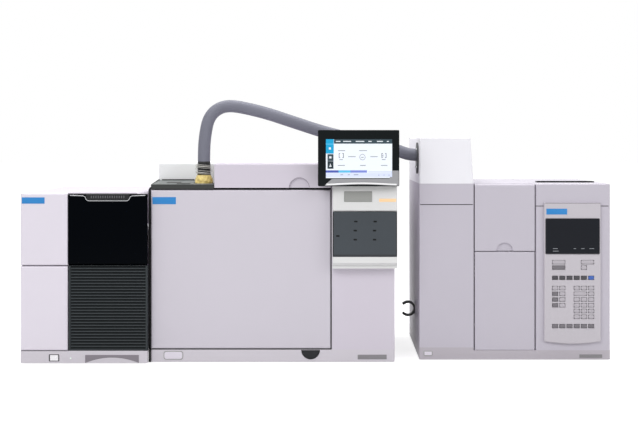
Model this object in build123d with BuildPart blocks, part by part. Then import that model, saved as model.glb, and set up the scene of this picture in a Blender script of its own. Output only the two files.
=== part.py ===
"""Gas chromatography bench set: mass detector, gas chromatograph and headspace sampler.

X runs to the right, Y to the back and Z up, in millimetres. The origin is on the bench, under the
middle of the set. Every piece is one closed solid, or a group of like solids, in its own STEP file.
"""
import math
import os

from build123d import *

# Overall sizes
ORIGIN_FROM_LEFT = 703.0
MS_WIDTH, MS_DEPTH, MS_HEIGHT = 300.0, 540.0, 404.0
GC_DEPTH = 510.0
HS_WIDTH, HS_DEPTH, HS_HEIGHT = 459.0, 480.0, 425.0
MS_GC_GAP = 6.0
GC_HS_GAP = 61.0
SCREEN_REACH = 50.0
GC_REAR_INSET = 10.0

# Shared material sizes and clearances
SHEET = 2.0
WALL = 3.0
FIT = 0.4
SEAM = 2.0
EDGE = 4.0
FOOT_HEIGHT = 2.0
FOOT_RADIUS = 14.0
FOOT_INSET = 34.0
BASE_HEIGHT = 31.0
VENT_SLOT, VENT_PITCH = 5.0, 12.0
BUTTON_PROUD = 1.0
BUTTON_DEPTH = 7.0
BUTTON_EDGE = 1.0
HOLE_SPACE = 1.0
SCOOP_DEPTH = 5.0

# Mass detector
MS_COLUMN_WIDTH = 112.0
MS_SIDE_INSET = 22.0
MS_PANEL_DEPTH = 18.0
MS_SPLIT = 232.0
MS_CORNER = 8.0
WINDOW_DEPTH = 16.0
WINDOW_TOP_DROP = 2.0
LATCH_TOP_WIDTH = 105.0
LATCH_BOTTOM_WIDTH = 99.0
LATCH_HEIGHT = 15.0
LATCH_DEPTH = 10.0
LOUVRE_PITCH = 7.1
LOUVRE_THICKNESS = 1.6
LOUVRE_REACH = 5.0
LOUVRE_FRAME, LOUVRE_BORDER = 4.0, 1.0
ROCKER_CENTRE = 79.5
ROCKER_RADIUS = 10.5
ROCKER_HEIGHT = 13.0
ROCKER_SET_BACK = 3.5
ROCKER_FACE = 5.5
ROCKER_DISH = 1.0
ROCKER_LIFT = 3.0
ARCH_LEFT, ARCH_RIGHT = 153.0, 280.0
ARCH_TOP, ARCH_APEX = 21.0, 15.0
ARCH_SHOULDER, ARCH_SLOPE = 12.0, 6.0
MS_VENT_LEVEL, MS_VENT_WIDTH, MS_VENT_SLOTS = 250.0, 148.0, 10
PUMP_FAN_LEVEL, PUMP_FAN_RADIUS, PUMP_FAN_SLOTS, PUMP_FAN_SLOT_LENGTH = 101.0, 26.0, 8, 22.0
MANIFOLD_WIDTH, MANIFOLD_DEPTH, MANIFOLD_HEIGHT = 130.0, 260.0, 110.0
MANIFOLD_FROM_SIDE, MANIFOLD_CORNER, MANIFOLD_WALL = 8.0, 10.0, 8.0
RIB_PITCH, RIBS, RIB_THICKNESS, RIB_HEIGHT, RIB_INSET = 30.0, 7, 4.0, 8.0, 12.0
MANIFOLD_SET_BACK = 24.0
MANIFOLD_BORE = 42.0
MANIFOLD_END = 20.0
ROD_RADIUS, ROD_CIRCLE, ROD_LENGTH = 6.0, 13.0, 150.0
ROD_END = 10.0
COLLAR_SET_BACK = 40.0
COLLAR_WIDTH = 12.0
PUMP_RADIUS = 48.0
PUMP_FLANGE_RADIUS, PUMP_FLANGE_HEIGHT = 56.0, 9.0
PUMP_BLOCK, PUMP_BLOCK_HEIGHT, PUMP_CORNER, PUMP_WALL = 116.0, 96.0, 8.0, 4.0
ROTOR_HUB, ROTOR_SHAFT = 15.0, 5.0
ROTOR_STAGES, ROTOR_BLADES = 4, 12
STAGE_HEIGHT = 5.0
BLADE_GAP = 6.0
ROTOR_RUN = 2.0
KNOB_RADIUS, KNOB_LENGTH, KNOB_FLUTES, FLUTE_RADIUS = 13.0, 12.0, 8, 4.0
KNOB_FROM_SIDE, KNOB_FROM_FLOOR = 20.0, 17.0
INTERFACE_HEIGHT = 303.0
INTERFACE_SET_BACK = 150.0
INTERFACE_RADIUS = 23.0
INTERFACE_NECK = 15.0
INTERFACE_TIP, INTERFACE_TIP_REACH = 4.0, 14.0
INTERFACE_COLLAR, INTERFACE_COLLAR_WIDTH = 29.0, 4.0
TUBE_STEP = 1.0

# Chromatograph
GC_COLUMN_WIDTH = 150.0
TOP_COVER_HEIGHT = 61.0
STEP_START, STEP_END = 75.0, 95.0
COLUMN_EDGE = 2.0
DOOR_DEPTH = 15.0
DOOR_REST_GAP = 3.0
DOOR_HINGE_INSET = 6.0
HINGE_PIN = 2.5
HINGE_PIN_LENGTH = 9.0
PLUG_DEPTH = 28.0
PLUG_CLEARANCE, PLUG_CORNER, PLUG_TAPER = 6.0, 8.0, 4.0
OVEN_WIDTH, OVEN_HEIGHT = 297.0, 277.0
OVEN_DEPTH = 212.0
OVEN_SIDE_SPACE, OVEN_ROOF_SPACE = 25.0, 11.0
FAN_SPACE = 46.0
LINER = 1.5
INSULATION = 40.0
FAN_RADIUS, FAN_DEPTH, FAN_HUB, FAN_BLADES = 74.0, 20.0, 16.0, 12
FAN_SHAFT, FAN_PLATE, FAN_SET_BACK = 4.0, 2.0, 6.0
FAN_INLETS, INLET_CENTRE, INLET_LENGTH, INLET_WIDTH = 8, 37.0, 44.4, 12.0
OUTLET_LENGTH, OUTLET_WIDTH, OUTLET_FROM_SIDE, OUTLET_FROM_TOP = 80.0, 16.0, 30.0, 22.0
MOTOR_RADIUS, MOTOR_DEPTH, MOTOR_EDGE = 42.0, 62.0, 5.0
MOTOR_PLATE, MOTOR_CORNER = 100.8, 8.0
HEATER_RADIUS, HEATER_WIRE, HEATER_TURNS = 100.0, 3.0, 3
HEATER_POSTS, POST_WIDTH, POST_THICKNESS = 4, 4.0, 8.0
COIL_RADIUS, COIL_TURNS, COIL_PITCH, COIL_TOUCH = 88.0, 6, 4.4, 0.2
CAGE_BAR = 2.0
CAGE_SET_BACK, CAGE_BARS, CAGE_MARGIN = 110.0, 6, 4.0
LATCH_RADIUS = 22.0
LATCH_FROM_COLUMN, LATCH_DROP = 50.0, 1.0
POWER_LEFT, POWER_WIDTH, POWER_HEIGHT, POWER_LOW, POWER_CORNER = 32.0, 43.0, 17.0, 9.0, 6.0
TRAY_WIDTH, TRAY_DEPTH = 150.0, 150.0
TRAY_FLOOR, TRAY_LIP, TRAY_BACK = 5.0, 11.0, 20.0
TRAY_RAIL = 3.0
GRATE_WIDTH, GRATE_INSET, GRATE_HEIGHT, GRATE_OFFSET = 34.0, 20.0, 4.0, 40.0
GRATE_SLOTS, GRATE_SLOT_LENGTH = 7, 24.0
LID_DEPTH, LID_EDGE, LID_LIFT, LID_CLEARANCE = 250.0, 12.0, 3.0, 0.6
LID_NOTCH_RADIUS, LID_NOTCH_FROM_LEFT = 24.0, 202.0
MODULE_HEIGHT, MODULE_RISE = 187.0, 8.0
MODULE_REACH, MODULE_TOP_REACH = 35.0, 27.0
CHIN_HEIGHT, CHIN_SLOPE = 20.0, 6.0
LEDGE_REACH, LEDGE_HEIGHT = 24.0, 8.0
HATCH_HEIGHT = 109.0
HATCH_THICKNESS, HATCH_INSET, SHUT_GAP = 5.0, 0.5, 1.0
MODULE_OVERHANG = 5.0
MODULE_EDGE = 3.0
SLOT_FRAME, SLOT_SILL = 12.0, 10.0
READER_LEFT, READER_WIDTH, READER_HEIGHT, READER_DEPTH = 27.0, 67.0, 26.0, 2.0
READER_FROM_TOP, READER_CORNER = 12.0, 2.0
SCREEN_WIDTH, SCREEN_HEIGHT, SCREEN_DEPTH = 191.0, 132.0, 35.0
SCREEN_LEFT_OF_COLUMN = 32.0
SCREEN_GLASS = 1.5
SCREEN_RIM, SCREEN_CORNER, SCREEN_CHIN_INSET = 4.0, 6.0, 5.0
SCREEN_CHIN = 9.0
VENT_WIDTH, VENT_HEIGHT, VENT_ABOVE_OVEN = 150.0, 70.0, 108.0
COLUMN_VENT_WIDTH, COLUMN_VENT_SLOTS = 90.0, 14
FITTING_RADIUS, FITTING_LENGTH = 1.5875, 15.0
FITTING_NUT, FITTING_NUT_LENGTH = 7.0, 4.0
FITTING_LEVEL, FITTING_FROM_LEFT, FITTING_PITCH, FITTINGS = 150.0, 90.0, 34.0, 3

# Transfer line
LINE_DIAMETER = 30.0
PORT_FROM_LEFT, PORT_FROM_FRONT = 121.0, 60.0
PORT_RADIUS, PORT_TOP = 22.0, 2.0
PORT_NECK = 15.0
PORT_TIP, PORT_TIP_REACH, PORT_CONE = 5.0, 8.0, 2.0
BOOT_BASE_RADIUS, BOOT_TOP_RADIUS, BOOT_HEIGHT = 21.0, 18.0, 26.0
BOOT_BAND, BOOT_EDGE = 6.0, 2.0
SLEEVE_RADIUS = 15.5
ARC_SHARE = 0.45
SLEEVE_HEIGHT = 32.0
CLAMP_WIRE, CLAMP_PLACES = 1.2, (8.0, 20.0)
FLANGE_RADIUS, FLANGE_THICKNESS, FLANGE_DROP, FLANGE_EDGE = 38.0, 4.0, 8.0, 1.0
# Corners of the hose's middle line, from its lower end in the sleeve
LINE_ROUTE = [
    (0, 0, 0), (0, 0, 36), (4, 1, 72), (10, 1, 100), (23, 2, 120), (43, 3, 132), (67, 4, 135),
    (102, 6, 129), (153, 10, 116.5), (219, 16, 94.5), (289, 22, 71.5), (353, 28, 56),
    (410, 34, 42), (466, 39, 28.5), (498, 40, 16), (516, 40, 16),
]

# Headspace sampler
HS_BASE_HEIGHT, HS_LEFT_BASE = 24.0, 30.7
HS_LEFT_WIDTH, HS_MID_WIDTH = 131.0, 147.0
HS_TOWER_HEIGHT, HS_TOWER_LEAN = 112.0, 8.0
HS_FRONT_DEPTH, HS_EDGE = 12.0, 2.0
HS_SPLIT = 262.0
HS_LEFT_SEAM, HS_RIGHT_SEAM = 373.5, 370.0
GROOVE = 1.0
BAY_DEPTH, BAY_CLEARANCE, FLAP_DROP = 150.0, 0.5, 0.5
FLAP_NOTCH = 20.0
CAROUSEL_RADIUS, CAROUSEL_PLATE, VIAL_CIRCLE, VIALS = 64.0, 4.0, 48.0, 10
CAROUSEL_LIFT, CAROUSEL_GAP, CAROUSEL_HUB, CAROUSEL_GRIP = 8.0, 28.0, 14.0, 12.0
VIAL_RADIUS, VIAL_HEIGHT, VIAL_NECK = 11.3, 75.0, 8.0
CAP_HEIGHT, CAP_RADIUS = 9.0, 10.3
SPINDLE_RADIUS, SPINDLE_HEIGHT = 5.0, 34.0
CONSOLE_LEFT, CONSOLE_RIGHT = 299.5, 435.5
CONSOLE_LOW, CONSOLE_HIGH, CONSOLE_SAG = 46.0, 379.0, 6.0
CONSOLE_PROUD, CONSOLE_EDGE = 8.0, 2.0
DISPLAY_LEFT, DISPLAY_RIGHT, DISPLAY_LOW, DISPLAY_HIGH = 302.0, 433.0, 255.5, 342.0
DISPLAY_THICKNESS, DISPLAY_CORNER = 2.0, 3.0
KEY_WIDTH, KEY_HEIGHT, KEY_PITCH, ROW_PITCH = 13.7, 9.5, 17.3, 13.8
KEY_PROUD, KEY_DEPTH, KEY_COLUMNS, KEY_ROWS = 1.5, 7.0, 6, 6
KEY_FIRST = 325.5
FUNCTION_ROW, FIRST_ROW, BOTTOM_ROW = 199.0, 174.4, 83.0
COMMAND_ROW, SECOND_COMMAND_ROW = 236.5, 223.5
HANDLE_LEFT, HANDLE_RIGHT, HANDLE_SET_BACK, HANDLE_WIDTH = 302.0, 437.0, 110.0, 40.0
HANDLE_CORNER = 8.0
HS_VENT_WIDTH, HS_VENT_SPREAD, HS_VENT_SLOTS = 136.5, 204.75, 12
HS_POWER_LEFT, HS_POWER_WIDTH, HS_POWER_LOW, HS_POWER_HEIGHT = 12.0, 18.0, 12.0, 9.0
CLIP_RADIUS, CLIP_WALL, CLIP_LENGTH, CLIP_LEVEL, CLIP_SET_BACK = 19.5, 4.0, 20.0, 102.0, 200.0
CLIP_GAP, CLIP_LIP, CLIP_LIP_TURN, CLIP_FOOT, CLIP_STAND = 12.1, 2.8, 140.0, 16.0, 1.0

# Limits of the three units, worked out from the sizes above
oven_wall = LINER + INSULATION
gc_body_width = OVEN_WIDTH + 2 * (oven_wall + OVEN_SIDE_SPACE)
gc_width = gc_body_width + GC_COLUMN_WIDTH
deck_height = BASE_HEIGHT + OVEN_HEIGHT + 2 * (oven_wall + OVEN_ROOF_SPACE)
gc_height = deck_height + TOP_COVER_HEIGHT
module_high = deck_height + MODULE_RISE
module_low = module_high - MODULE_HEIGHT
rear = (SCREEN_REACH + GC_DEPTH + GC_REAR_INSET) / 2
ms_left = -ORIGIN_FROM_LEFT
ms_right = ms_left + MS_WIDTH
ms_body = ms_right - MS_SIDE_INSET
ms_front = rear - MS_DEPTH
gc_left = ms_right + MS_GC_GAP
gc_right = gc_left + gc_width
gc_rear = rear - GC_REAR_INSET
gc_front = gc_rear - GC_DEPTH
hs_left = gc_right + GC_HS_GAP
hs_right = hs_left + HS_WIDTH
hs_front = rear - HS_DEPTH
floor_top = FOOT_HEIGHT + WALL

STANDING = (Align.CENTER, Align.CENTER, Align.MIN)


def front(y):
    """Upright plane at depth y: its x is X and its y is Z; lengths below zero run to the back."""
    return Plane.XZ.offset(-y)


def side(x):
    """Upright plane across the set at x: its x is Y and its y is Z."""
    return Plane.YZ.offset(x)


def level(z):
    """Flat plane at height z."""
    return Plane.XY.offset(z)


def mid(low, high):
    return (low + high) / 2


def bar(plane, a, b, length, corner=0.0, mode=Mode.ADD):
    """A rectangle over the spans a and b of the plane, pushed along its normal."""
    with BuildSketch(plane) as outline:
        with Locations((mid(*a), mid(*b))):
            if corner:
                RectangleRounded(a[1] - a[0], b[1] - b[0], corner)
            else:
                Rectangle(a[1] - a[0], b[1] - b[0])
    extrude(outline.sketch, amount=length, mode=mode)


def rod(plane, centre, radius, length, mode=Mode.ADD):
    """A round bar or hole standing on the plane."""
    with BuildSketch(plane) as outline:
        with Locations(centre):
            Circle(radius)
    extrude(outline.sketch, amount=length, mode=mode)


def polygon(plane, points, length, mode=Mode.ADD):
    """A straight-edged profile, pushed along the plane's normal."""
    with BuildSketch(plane) as outline:
        with BuildLine():
            Polyline(*points, close=True)
        make_face()
    extrude(outline.sketch, amount=length, mode=mode)


def inward(pair, amount):
    return (pair[0] + amount, pair[1] - amount)


def pan(x, z, y, depth, edge=EDGE):
    """A moulded front panel: rounded front edges, open at the back."""
    bar(front(y), x, z, -depth)
    fillet(edges().group_by(Axis.Y)[0], edge)
    bar(front(y + WALL), inward(x, WALL), inward(z, WALL), -depth, mode=Mode.SUBTRACT)


def half_disc(y, centre, radius, depth, mode=Mode.ADD):
    """The upper half of a disc, standing on the front plane at y."""
    with BuildSketch(front(y)) as outline:
        with Locations(centre):
            Circle(radius)
            Rectangle(3 * radius, 2 * radius, align=(Align.CENTER, Align.MAX), mode=Mode.SUBTRACT)
    extrude(outline.sketch, amount=-depth, mode=mode)


def scoop(y, centre, radius):
    """A half-round finger recess in a front panel, with a wall of its own round it and behind it."""
    half_disc(y, centre, radius + WALL, SCOOP_DEPTH + WALL)
    half_disc(y, centre, radius, SCOOP_DEPTH, mode=Mode.SUBTRACT)


def save(piece, name):
    piece.part.label = name
    export_step(piece.part, f"parts/{name}.step")


os.makedirs("parts", exist_ok=True)

# ---------------------------------------------------------------- mass detector
ms_back = ms_front + MS_PANEL_DEPTH
column_end = ms_left + MS_COLUMN_WIDTH
rocker_x = ms_left + ROCKER_CENTRE
rocker_y = ms_front + ROCKER_SET_BACK
rocker_low = floor_top + ROCKER_LIFT
interface_y = gc_front + INTERFACE_SET_BACK

with BuildPart() as ms_base_tray:
    with BuildSketch(level(FOOT_HEIGHT)):
        with BuildLine():
            Polyline(
                (ms_left, ms_front), (ms_right, ms_front), (ms_right, ms_back),
                (ms_body, ms_back), (ms_body, rear), (ms_left, rear), close=True,
            )
        make_face()
    extrude(amount=BASE_HEIGHT - FOOT_HEIGHT)
    offset(amount=-WALL, openings=ms_base_tray.faces().sort_by(Axis.Z)[-1])
    bar(
        front(ms_front),
        (rocker_x - ROCKER_RADIUS - FIT, rocker_x + ROCKER_RADIUS + FIT),
        (rocker_low - FIT, rocker_low + ROCKER_HEIGHT + FIT),
        -WALL,
        mode=Mode.SUBTRACT,
    )
    with BuildSketch(front(ms_front)):
        with BuildLine():
            Polyline(
                (ms_left + ARCH_LEFT, floor_top), (ms_left + ARCH_LEFT, ARCH_SHOULDER),
                (ms_left + ARCH_LEFT + ARCH_SLOPE, ARCH_TOP), (ms_left + ARCH_RIGHT - ARCH_SLOPE, ARCH_TOP),
                (ms_left + ARCH_RIGHT, ARCH_SHOULDER), (ms_left + ARCH_RIGHT, floor_top),
            )
            ThreePointArc(
                (ms_left + ARCH_RIGHT, floor_top),
                (ms_left + mid(ARCH_LEFT, ARCH_RIGHT), ARCH_APEX),
                (ms_left + ARCH_LEFT, floor_top),
            )
        make_face()
    extrude(amount=-WALL, mode=Mode.SUBTRACT)
save(ms_base_tray, "ms_base_tray")

with BuildPart() as ms_power_rocker:
    with BuildSketch(level(rocker_low)):
        with Locations((rocker_x, rocker_y)):
            Circle(ROCKER_RADIUS)
            Rectangle(
                2 * ROCKER_RADIUS, ROCKER_RADIUS, align=(Align.CENTER, Align.MIN), mode=Mode.SUBTRACT
            )
        with BuildLine():
            Polyline(
                (rocker_x - ROCKER_RADIUS, rocker_y - ROCKER_RADIUS),
                (rocker_x - ROCKER_RADIUS, rocker_y - ROCKER_FACE),
                (rocker_x, rocker_y - ROCKER_FACE + ROCKER_DISH),
                (rocker_x + ROCKER_RADIUS, rocker_y - ROCKER_FACE),
                (rocker_x + ROCKER_RADIUS, rocker_y - ROCKER_RADIUS), close=True,
            )
        make_face(mode=Mode.SUBTRACT)
    extrude(amount=ROCKER_HEIGHT)
save(ms_power_rocker, "ms_power_rocker")

with BuildPart() as ms_wrap_cover:
    with BuildSketch(front(ms_back)) as skin:
        with Locations((mid(ms_left, ms_body), BASE_HEIGHT)):
            Rectangle(ms_body - ms_left, MS_HEIGHT - BASE_HEIGHT, align=(Align.CENTER, Align.MIN))
        fillet(skin.vertices().group_by(Axis.Z)[-1], MS_CORNER)
        offset(amount=-SHEET, mode=Mode.SUBTRACT)
        with Locations((mid(ms_left, ms_body), BASE_HEIGHT)):
            Rectangle(
                ms_body - ms_left - 2 * SHEET, SHEET, align=(Align.CENTER, Align.MIN), mode=Mode.SUBTRACT
            )
    extrude(amount=-(rear - SHEET - ms_back))
    rod(
        side(ms_body), (interface_y, INTERFACE_HEIGHT), INTERFACE_RADIUS + HOLE_SPACE, -SHEET,
        mode=Mode.SUBTRACT,
    )
save(ms_wrap_cover, "ms_wrap_cover")

with BuildPart() as ms_upper_panel:
    pan((ms_left, column_end), (MS_SPLIT + SEAM / 2, MS_HEIGHT), ms_front, MS_PANEL_DEPTH)
save(ms_upper_panel, "ms_upper_panel")

with BuildPart() as ms_lower_panel:
    pan((ms_left, column_end), (BASE_HEIGHT, MS_SPLIT - SEAM / 2), ms_front, MS_PANEL_DEPTH)
save(ms_lower_panel, "ms_lower_panel")

window = (column_end + SEAM / 2, ms_right - SEAM / 2)
window_low = MS_SPLIT + SEAM / 2
window_high = MS_HEIGHT - WINDOW_TOP_DROP
window_pivot = (ms_front + WINDOW_DEPTH / 2, window_low + WINDOW_DEPTH / 2)
latch_x = mid(*window)
latch_low = window_high - LATCH_HEIGHT


def latch_outline(spare):
    """Half of the width at the top and at the bottom, and the lower edge, of the notch or its latch."""
    return LATCH_TOP_WIDTH / 2 + spare, LATCH_BOTTOM_WIDTH / 2 + spare, latch_low - spare


with BuildPart() as ms_window_cover:
    with BuildSketch(side(window[0])):
        with Locations(window_pivot):
            Circle(WINDOW_DEPTH / 2)
            Rectangle(
                WINDOW_DEPTH, window_high - window_pivot[1], align=(Align.CENTER, Align.MIN)
            )
    extrude(amount=window[1] - window[0])
    fillet(ms_window_cover.edges().group_by(Axis.Z)[-1].group_by(Axis.Y)[0], EDGE)
    bar(
        front(ms_front + WALL), inward(window, WALL), (window_pivot[1] + WALL, window_high - WALL),
        -WINDOW_DEPTH, mode=Mode.SUBTRACT,
    )
    half_top, half_low, low = latch_outline(FIT)
    polygon(
        front(ms_front),
        [(latch_x - half_top, window_high), (latch_x - half_low, low),
         (latch_x + half_low, low), (latch_x + half_top, window_high)],
        -WINDOW_DEPTH, mode=Mode.SUBTRACT,
    )
save(ms_window_cover, "ms_window_cover")

with BuildPart() as ms_latch_button:
    half_top, half_low, low = latch_outline(0)
    polygon(
        front(ms_front),
        [(latch_x - half_top, window_high), (latch_x - half_low, low),
         (latch_x + half_low, low), (latch_x + half_top, window_high)],
        -LATCH_DEPTH,
    )
    fillet(ms_latch_button.edges().group_by(Axis.Y)[0], BUTTON_EDGE)
save(ms_latch_button, "ms_latch_button")

louvre = (column_end + SEAM, ms_right)
louvre_high = window_low - 2 * FIT
louvre_count = int((louvre_high - BASE_HEIGHT - 2 * LOUVRE_BORDER) / LOUVRE_PITCH)

with BuildPart() as ms_louvre_panel:
    bar(front(ms_front), louvre, (BASE_HEIGHT, louvre_high), -MS_PANEL_DEPTH)
    bar(
        front(ms_front), inward(louvre, LOUVRE_FRAME), inward((BASE_HEIGHT, louvre_high), LOUVRE_BORDER),
        -MS_PANEL_DEPTH, mode=Mode.SUBTRACT,
    )
    with BuildSketch(side(louvre[0])):
        with Locations((ms_front, mid(BASE_HEIGHT, louvre_high) - LOUVRE_PITCH / 2)):
            with GridLocations(0, LOUVRE_PITCH, 1, louvre_count):
                Polygon(
                    (FIT, 0), (LOUVRE_REACH, LOUVRE_PITCH - LOUVRE_THICKNESS / 2),
                    (LOUVRE_REACH, LOUVRE_PITCH + LOUVRE_THICKNESS / 2), (FIT, LOUVRE_THICKNESS),
                    align=None,
                )
    extrude(amount=louvre[1] - louvre[0])
save(ms_louvre_panel, "ms_louvre_panel")

with BuildPart() as ms_rear_panel:
    with BuildSketch(front(rear)) as plate:
        with Locations((mid(ms_left, ms_body), BASE_HEIGHT)):
            Rectangle(ms_body - ms_left, MS_HEIGHT - BASE_HEIGHT, align=(Align.CENTER, Align.MIN))
        fillet(plate.vertices().group_by(Axis.Z)[-1], MS_CORNER)
        with Locations((mid(ms_left, ms_body), MS_VENT_LEVEL)):
            with GridLocations(0, VENT_PITCH, 1, MS_VENT_SLOTS):
                SlotOverall(MS_VENT_WIDTH, VENT_SLOT, mode=Mode.SUBTRACT)
        with Locations((mid(ms_left, ms_body), PUMP_FAN_LEVEL)):
            with PolarLocations(PUMP_FAN_RADIUS, PUMP_FAN_SLOTS):
                SlotOverall(PUMP_FAN_SLOT_LENGTH, VENT_SLOT, mode=Mode.SUBTRACT)
    extrude(amount=SHEET)
save(ms_rear_panel, "ms_rear_panel")

manifold_right = ms_body - SHEET - MANIFOLD_FROM_SIDE
manifold_x = (manifold_right - MANIFOLD_WIDTH, manifold_right)
manifold_y = (ms_back + MANIFOLD_SET_BACK, ms_back + MANIFOLD_SET_BACK + MANIFOLD_DEPTH)
manifold_z = (INTERFACE_HEIGHT - MANIFOLD_HEIGHT / 2, INTERFACE_HEIGHT + MANIFOLD_HEIGHT / 2)
manifold_axis = (mid(*manifold_x), INTERFACE_HEIGHT)
pump_centre = (mid(*manifold_x), mid(*manifold_y))

with BuildPart() as ms_vacuum_manifold:
    bar(front(manifold_y[0]), manifold_x, manifold_z, -MANIFOLD_DEPTH, corner=MANIFOLD_CORNER)
    rod(
        front(manifold_y[0]), manifold_axis, MANIFOLD_BORE, -(MANIFOLD_DEPTH - MANIFOLD_END),
        mode=Mode.SUBTRACT,
    )
    rod(
        level(manifold_z[0]), pump_centre, PUMP_RADIUS - MANIFOLD_WALL, MANIFOLD_HEIGHT / 2,
        mode=Mode.SUBTRACT,
    )
    with BuildSketch(level(manifold_z[1])):
        with Locations(pump_centre):
            with GridLocations(0, RIB_PITCH, 1, RIBS):
                Rectangle(MANIFOLD_WIDTH - 2 * RIB_INSET, RIB_THICKNESS)
    extrude(amount=RIB_HEIGHT)
    rod(
        side(manifold_x[1]), (interface_y, INTERFACE_HEIGHT), INTERFACE_NECK / 2, -MANIFOLD_WIDTH / 2,
        mode=Mode.SUBTRACT,
    )
save(ms_vacuum_manifold, "ms_vacuum_manifold")

collar_front = manifold_y[0] + COLLAR_SET_BACK
collar_places = (collar_front, collar_front + ROD_LENGTH - COLLAR_WIDTH)

with BuildPart() as ms_quadrupole:
    for place in collar_places:
        with BuildSketch(front(place)):
            with Locations(manifold_axis):
                Circle(MANIFOLD_BORE - FIT)
                Circle(ROD_CIRCLE - ROD_RADIUS / 2, mode=Mode.SUBTRACT)
        extrude(amount=-COLLAR_WIDTH)
    with BuildSketch(front(collar_front - ROD_END)):
        with Locations(manifold_axis):
            with PolarLocations(ROD_CIRCLE, 4, 45):
                Circle(ROD_RADIUS)
    extrude(amount=-(ROD_LENGTH + 2 * ROD_END))
save(ms_quadrupole, "ms_quadrupole")

rotor_low = floor_top + PUMP_BLOCK_HEIGHT
rotor_high = manifold_z[0] - PUMP_FLANGE_HEIGHT
rotor_bore = PUMP_RADIUS - PUMP_WALL

with BuildPart() as ms_turbo_pump:
    with BuildSketch(level(floor_top)):
        with Locations(pump_centre):
            RectangleRounded(PUMP_BLOCK, PUMP_BLOCK, PUMP_CORNER)
    extrude(amount=PUMP_BLOCK_HEIGHT)
    rod(level(rotor_low), pump_centre, PUMP_RADIUS, manifold_z[0] - rotor_low)
    rod(level(rotor_high), pump_centre, PUMP_FLANGE_RADIUS, PUMP_FLANGE_HEIGHT)
    rod(level(rotor_low), pump_centre, rotor_bore, manifold_z[0] - rotor_low, mode=Mode.SUBTRACT)
    rod(
        level(rotor_low), pump_centre, ROTOR_SHAFT + FIT, -(PUMP_BLOCK_HEIGHT / 2), mode=Mode.SUBTRACT
    )
save(ms_turbo_pump, "ms_turbo_pump")

stage_pitch = (rotor_high - rotor_low - ROTOR_RUN) / ROTOR_STAGES

with BuildPart() as ms_turbo_rotor:
    rod(level(rotor_low + ROTOR_RUN), pump_centre, ROTOR_HUB, rotor_high - rotor_low - ROTOR_RUN)
    rod(level(rotor_low + ROTOR_RUN), pump_centre, ROTOR_SHAFT, -(PUMP_BLOCK_HEIGHT / 3))
    for stage in range(ROTOR_STAGES):
        with BuildSketch(level(rotor_low + ROTOR_RUN + stage * stage_pitch)):
            with Locations(pump_centre):
                Circle(rotor_bore - ROTOR_RUN)
                with PolarLocations(rotor_bore - ROTOR_RUN, ROTOR_BLADES):
                    Rectangle(rotor_bore - ROTOR_HUB, BLADE_GAP, mode=Mode.SUBTRACT)
        extrude(amount=STAGE_HEIGHT)
save(ms_turbo_rotor, "ms_turbo_rotor")

knob_centre = (manifold_x[0] + KNOB_FROM_SIDE, manifold_z[0] + KNOB_FROM_FLOOR)

with BuildPart() as ms_vent_knob:
    with BuildSketch(front(manifold_y[0] - FIT)):
        with Locations(knob_centre):
            Circle(KNOB_RADIUS)
            with PolarLocations(KNOB_RADIUS + FLUTE_RADIUS / 2, KNOB_FLUTES):
                Circle(FLUTE_RADIUS, mode=Mode.SUBTRACT)
    extrude(amount=KNOB_LENGTH)
save(ms_vent_knob, "ms_vent_knob")

# ---------------------------------------------------------------- chromatograph body
column_x = gc_right - GC_COLUMN_WIDTH
chassis_front = gc_front + DOOR_DEPTH + DOOR_REST_GAP
chassis_rear = gc_rear - SHEET
oven_x = mid(gc_left, column_x)
oven_z = mid(BASE_HEIGHT, deck_height)
mouth_x = (oven_x - OVEN_WIDTH / 2, oven_x + OVEN_WIDTH / 2)
mouth_z = (oven_z - OVEN_HEIGHT / 2, oven_z + OVEN_HEIGHT / 2)
block_x = inward(mouth_x, -oven_wall)
block_z = inward(mouth_z, -oven_wall)
oven_front = chassis_front + WALL
fan_face = oven_front + OVEN_DEPTH
oven_back = fan_face + FAN_SPACE
block_back = oven_back + oven_wall
hinge = (gc_left + DOOR_HINGE_INSET, gc_front + DOOR_HINGE_INSET)
latch_centre = (column_x - LATCH_FROM_COLUMN, BASE_HEIGHT - LATCH_DROP)
power_x = (gc_left + POWER_LEFT, gc_left + POWER_LEFT + POWER_WIDTH)
power_z = (POWER_LOW, POWER_LOW + POWER_HEIGHT)
port = (gc_left + PORT_FROM_LEFT, gc_front + PORT_FROM_FRONT)

with BuildPart() as gc_base_tray:
    bar(level(FOOT_HEIGHT), (gc_left, gc_right), (gc_front, gc_rear), BASE_HEIGHT - FOOT_HEIGHT)
    fillet(gc_base_tray.edges().filter_by(Axis.Z).group_by(Axis.Y)[0], EDGE)
    bar(
        level(floor_top), inward((gc_left, gc_right), WALL), (gc_front + WALL, gc_rear - WALL),
        BASE_HEIGHT - floor_top - WALL, mode=Mode.SUBTRACT,
    )
    bar(
        level(floor_top), inward((gc_left, gc_right), WALL), (oven_front, gc_rear - WALL),
        BASE_HEIGHT, mode=Mode.SUBTRACT,
    )
    bar(
        front(gc_front), inward(power_x, -FIT), inward(power_z, -FIT), -WALL, corner=POWER_CORNER,
        mode=Mode.SUBTRACT,
    )
    with BuildSketch(front(gc_front)):
        with Locations(latch_centre):
            Circle(LATCH_RADIUS + FIT)
            Rectangle(
                3 * LATCH_RADIUS, 2 * LATCH_RADIUS, align=(Align.CENTER, Align.MIN), mode=Mode.SUBTRACT
            )
    extrude(amount=-(DOOR_DEPTH + DOOR_REST_GAP), mode=Mode.SUBTRACT)
    rod(level(BASE_HEIGHT), hinge, HINGE_PIN, HINGE_PIN_LENGTH)
save(gc_base_tray, "gc_base_tray")

with BuildPart() as gc_power_button:
    bar(
        front(gc_front - BUTTON_PROUD), power_x, power_z, -BUTTON_DEPTH, corner=POWER_CORNER - FIT,
    )
save(gc_power_button, "gc_power_button")

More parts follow.
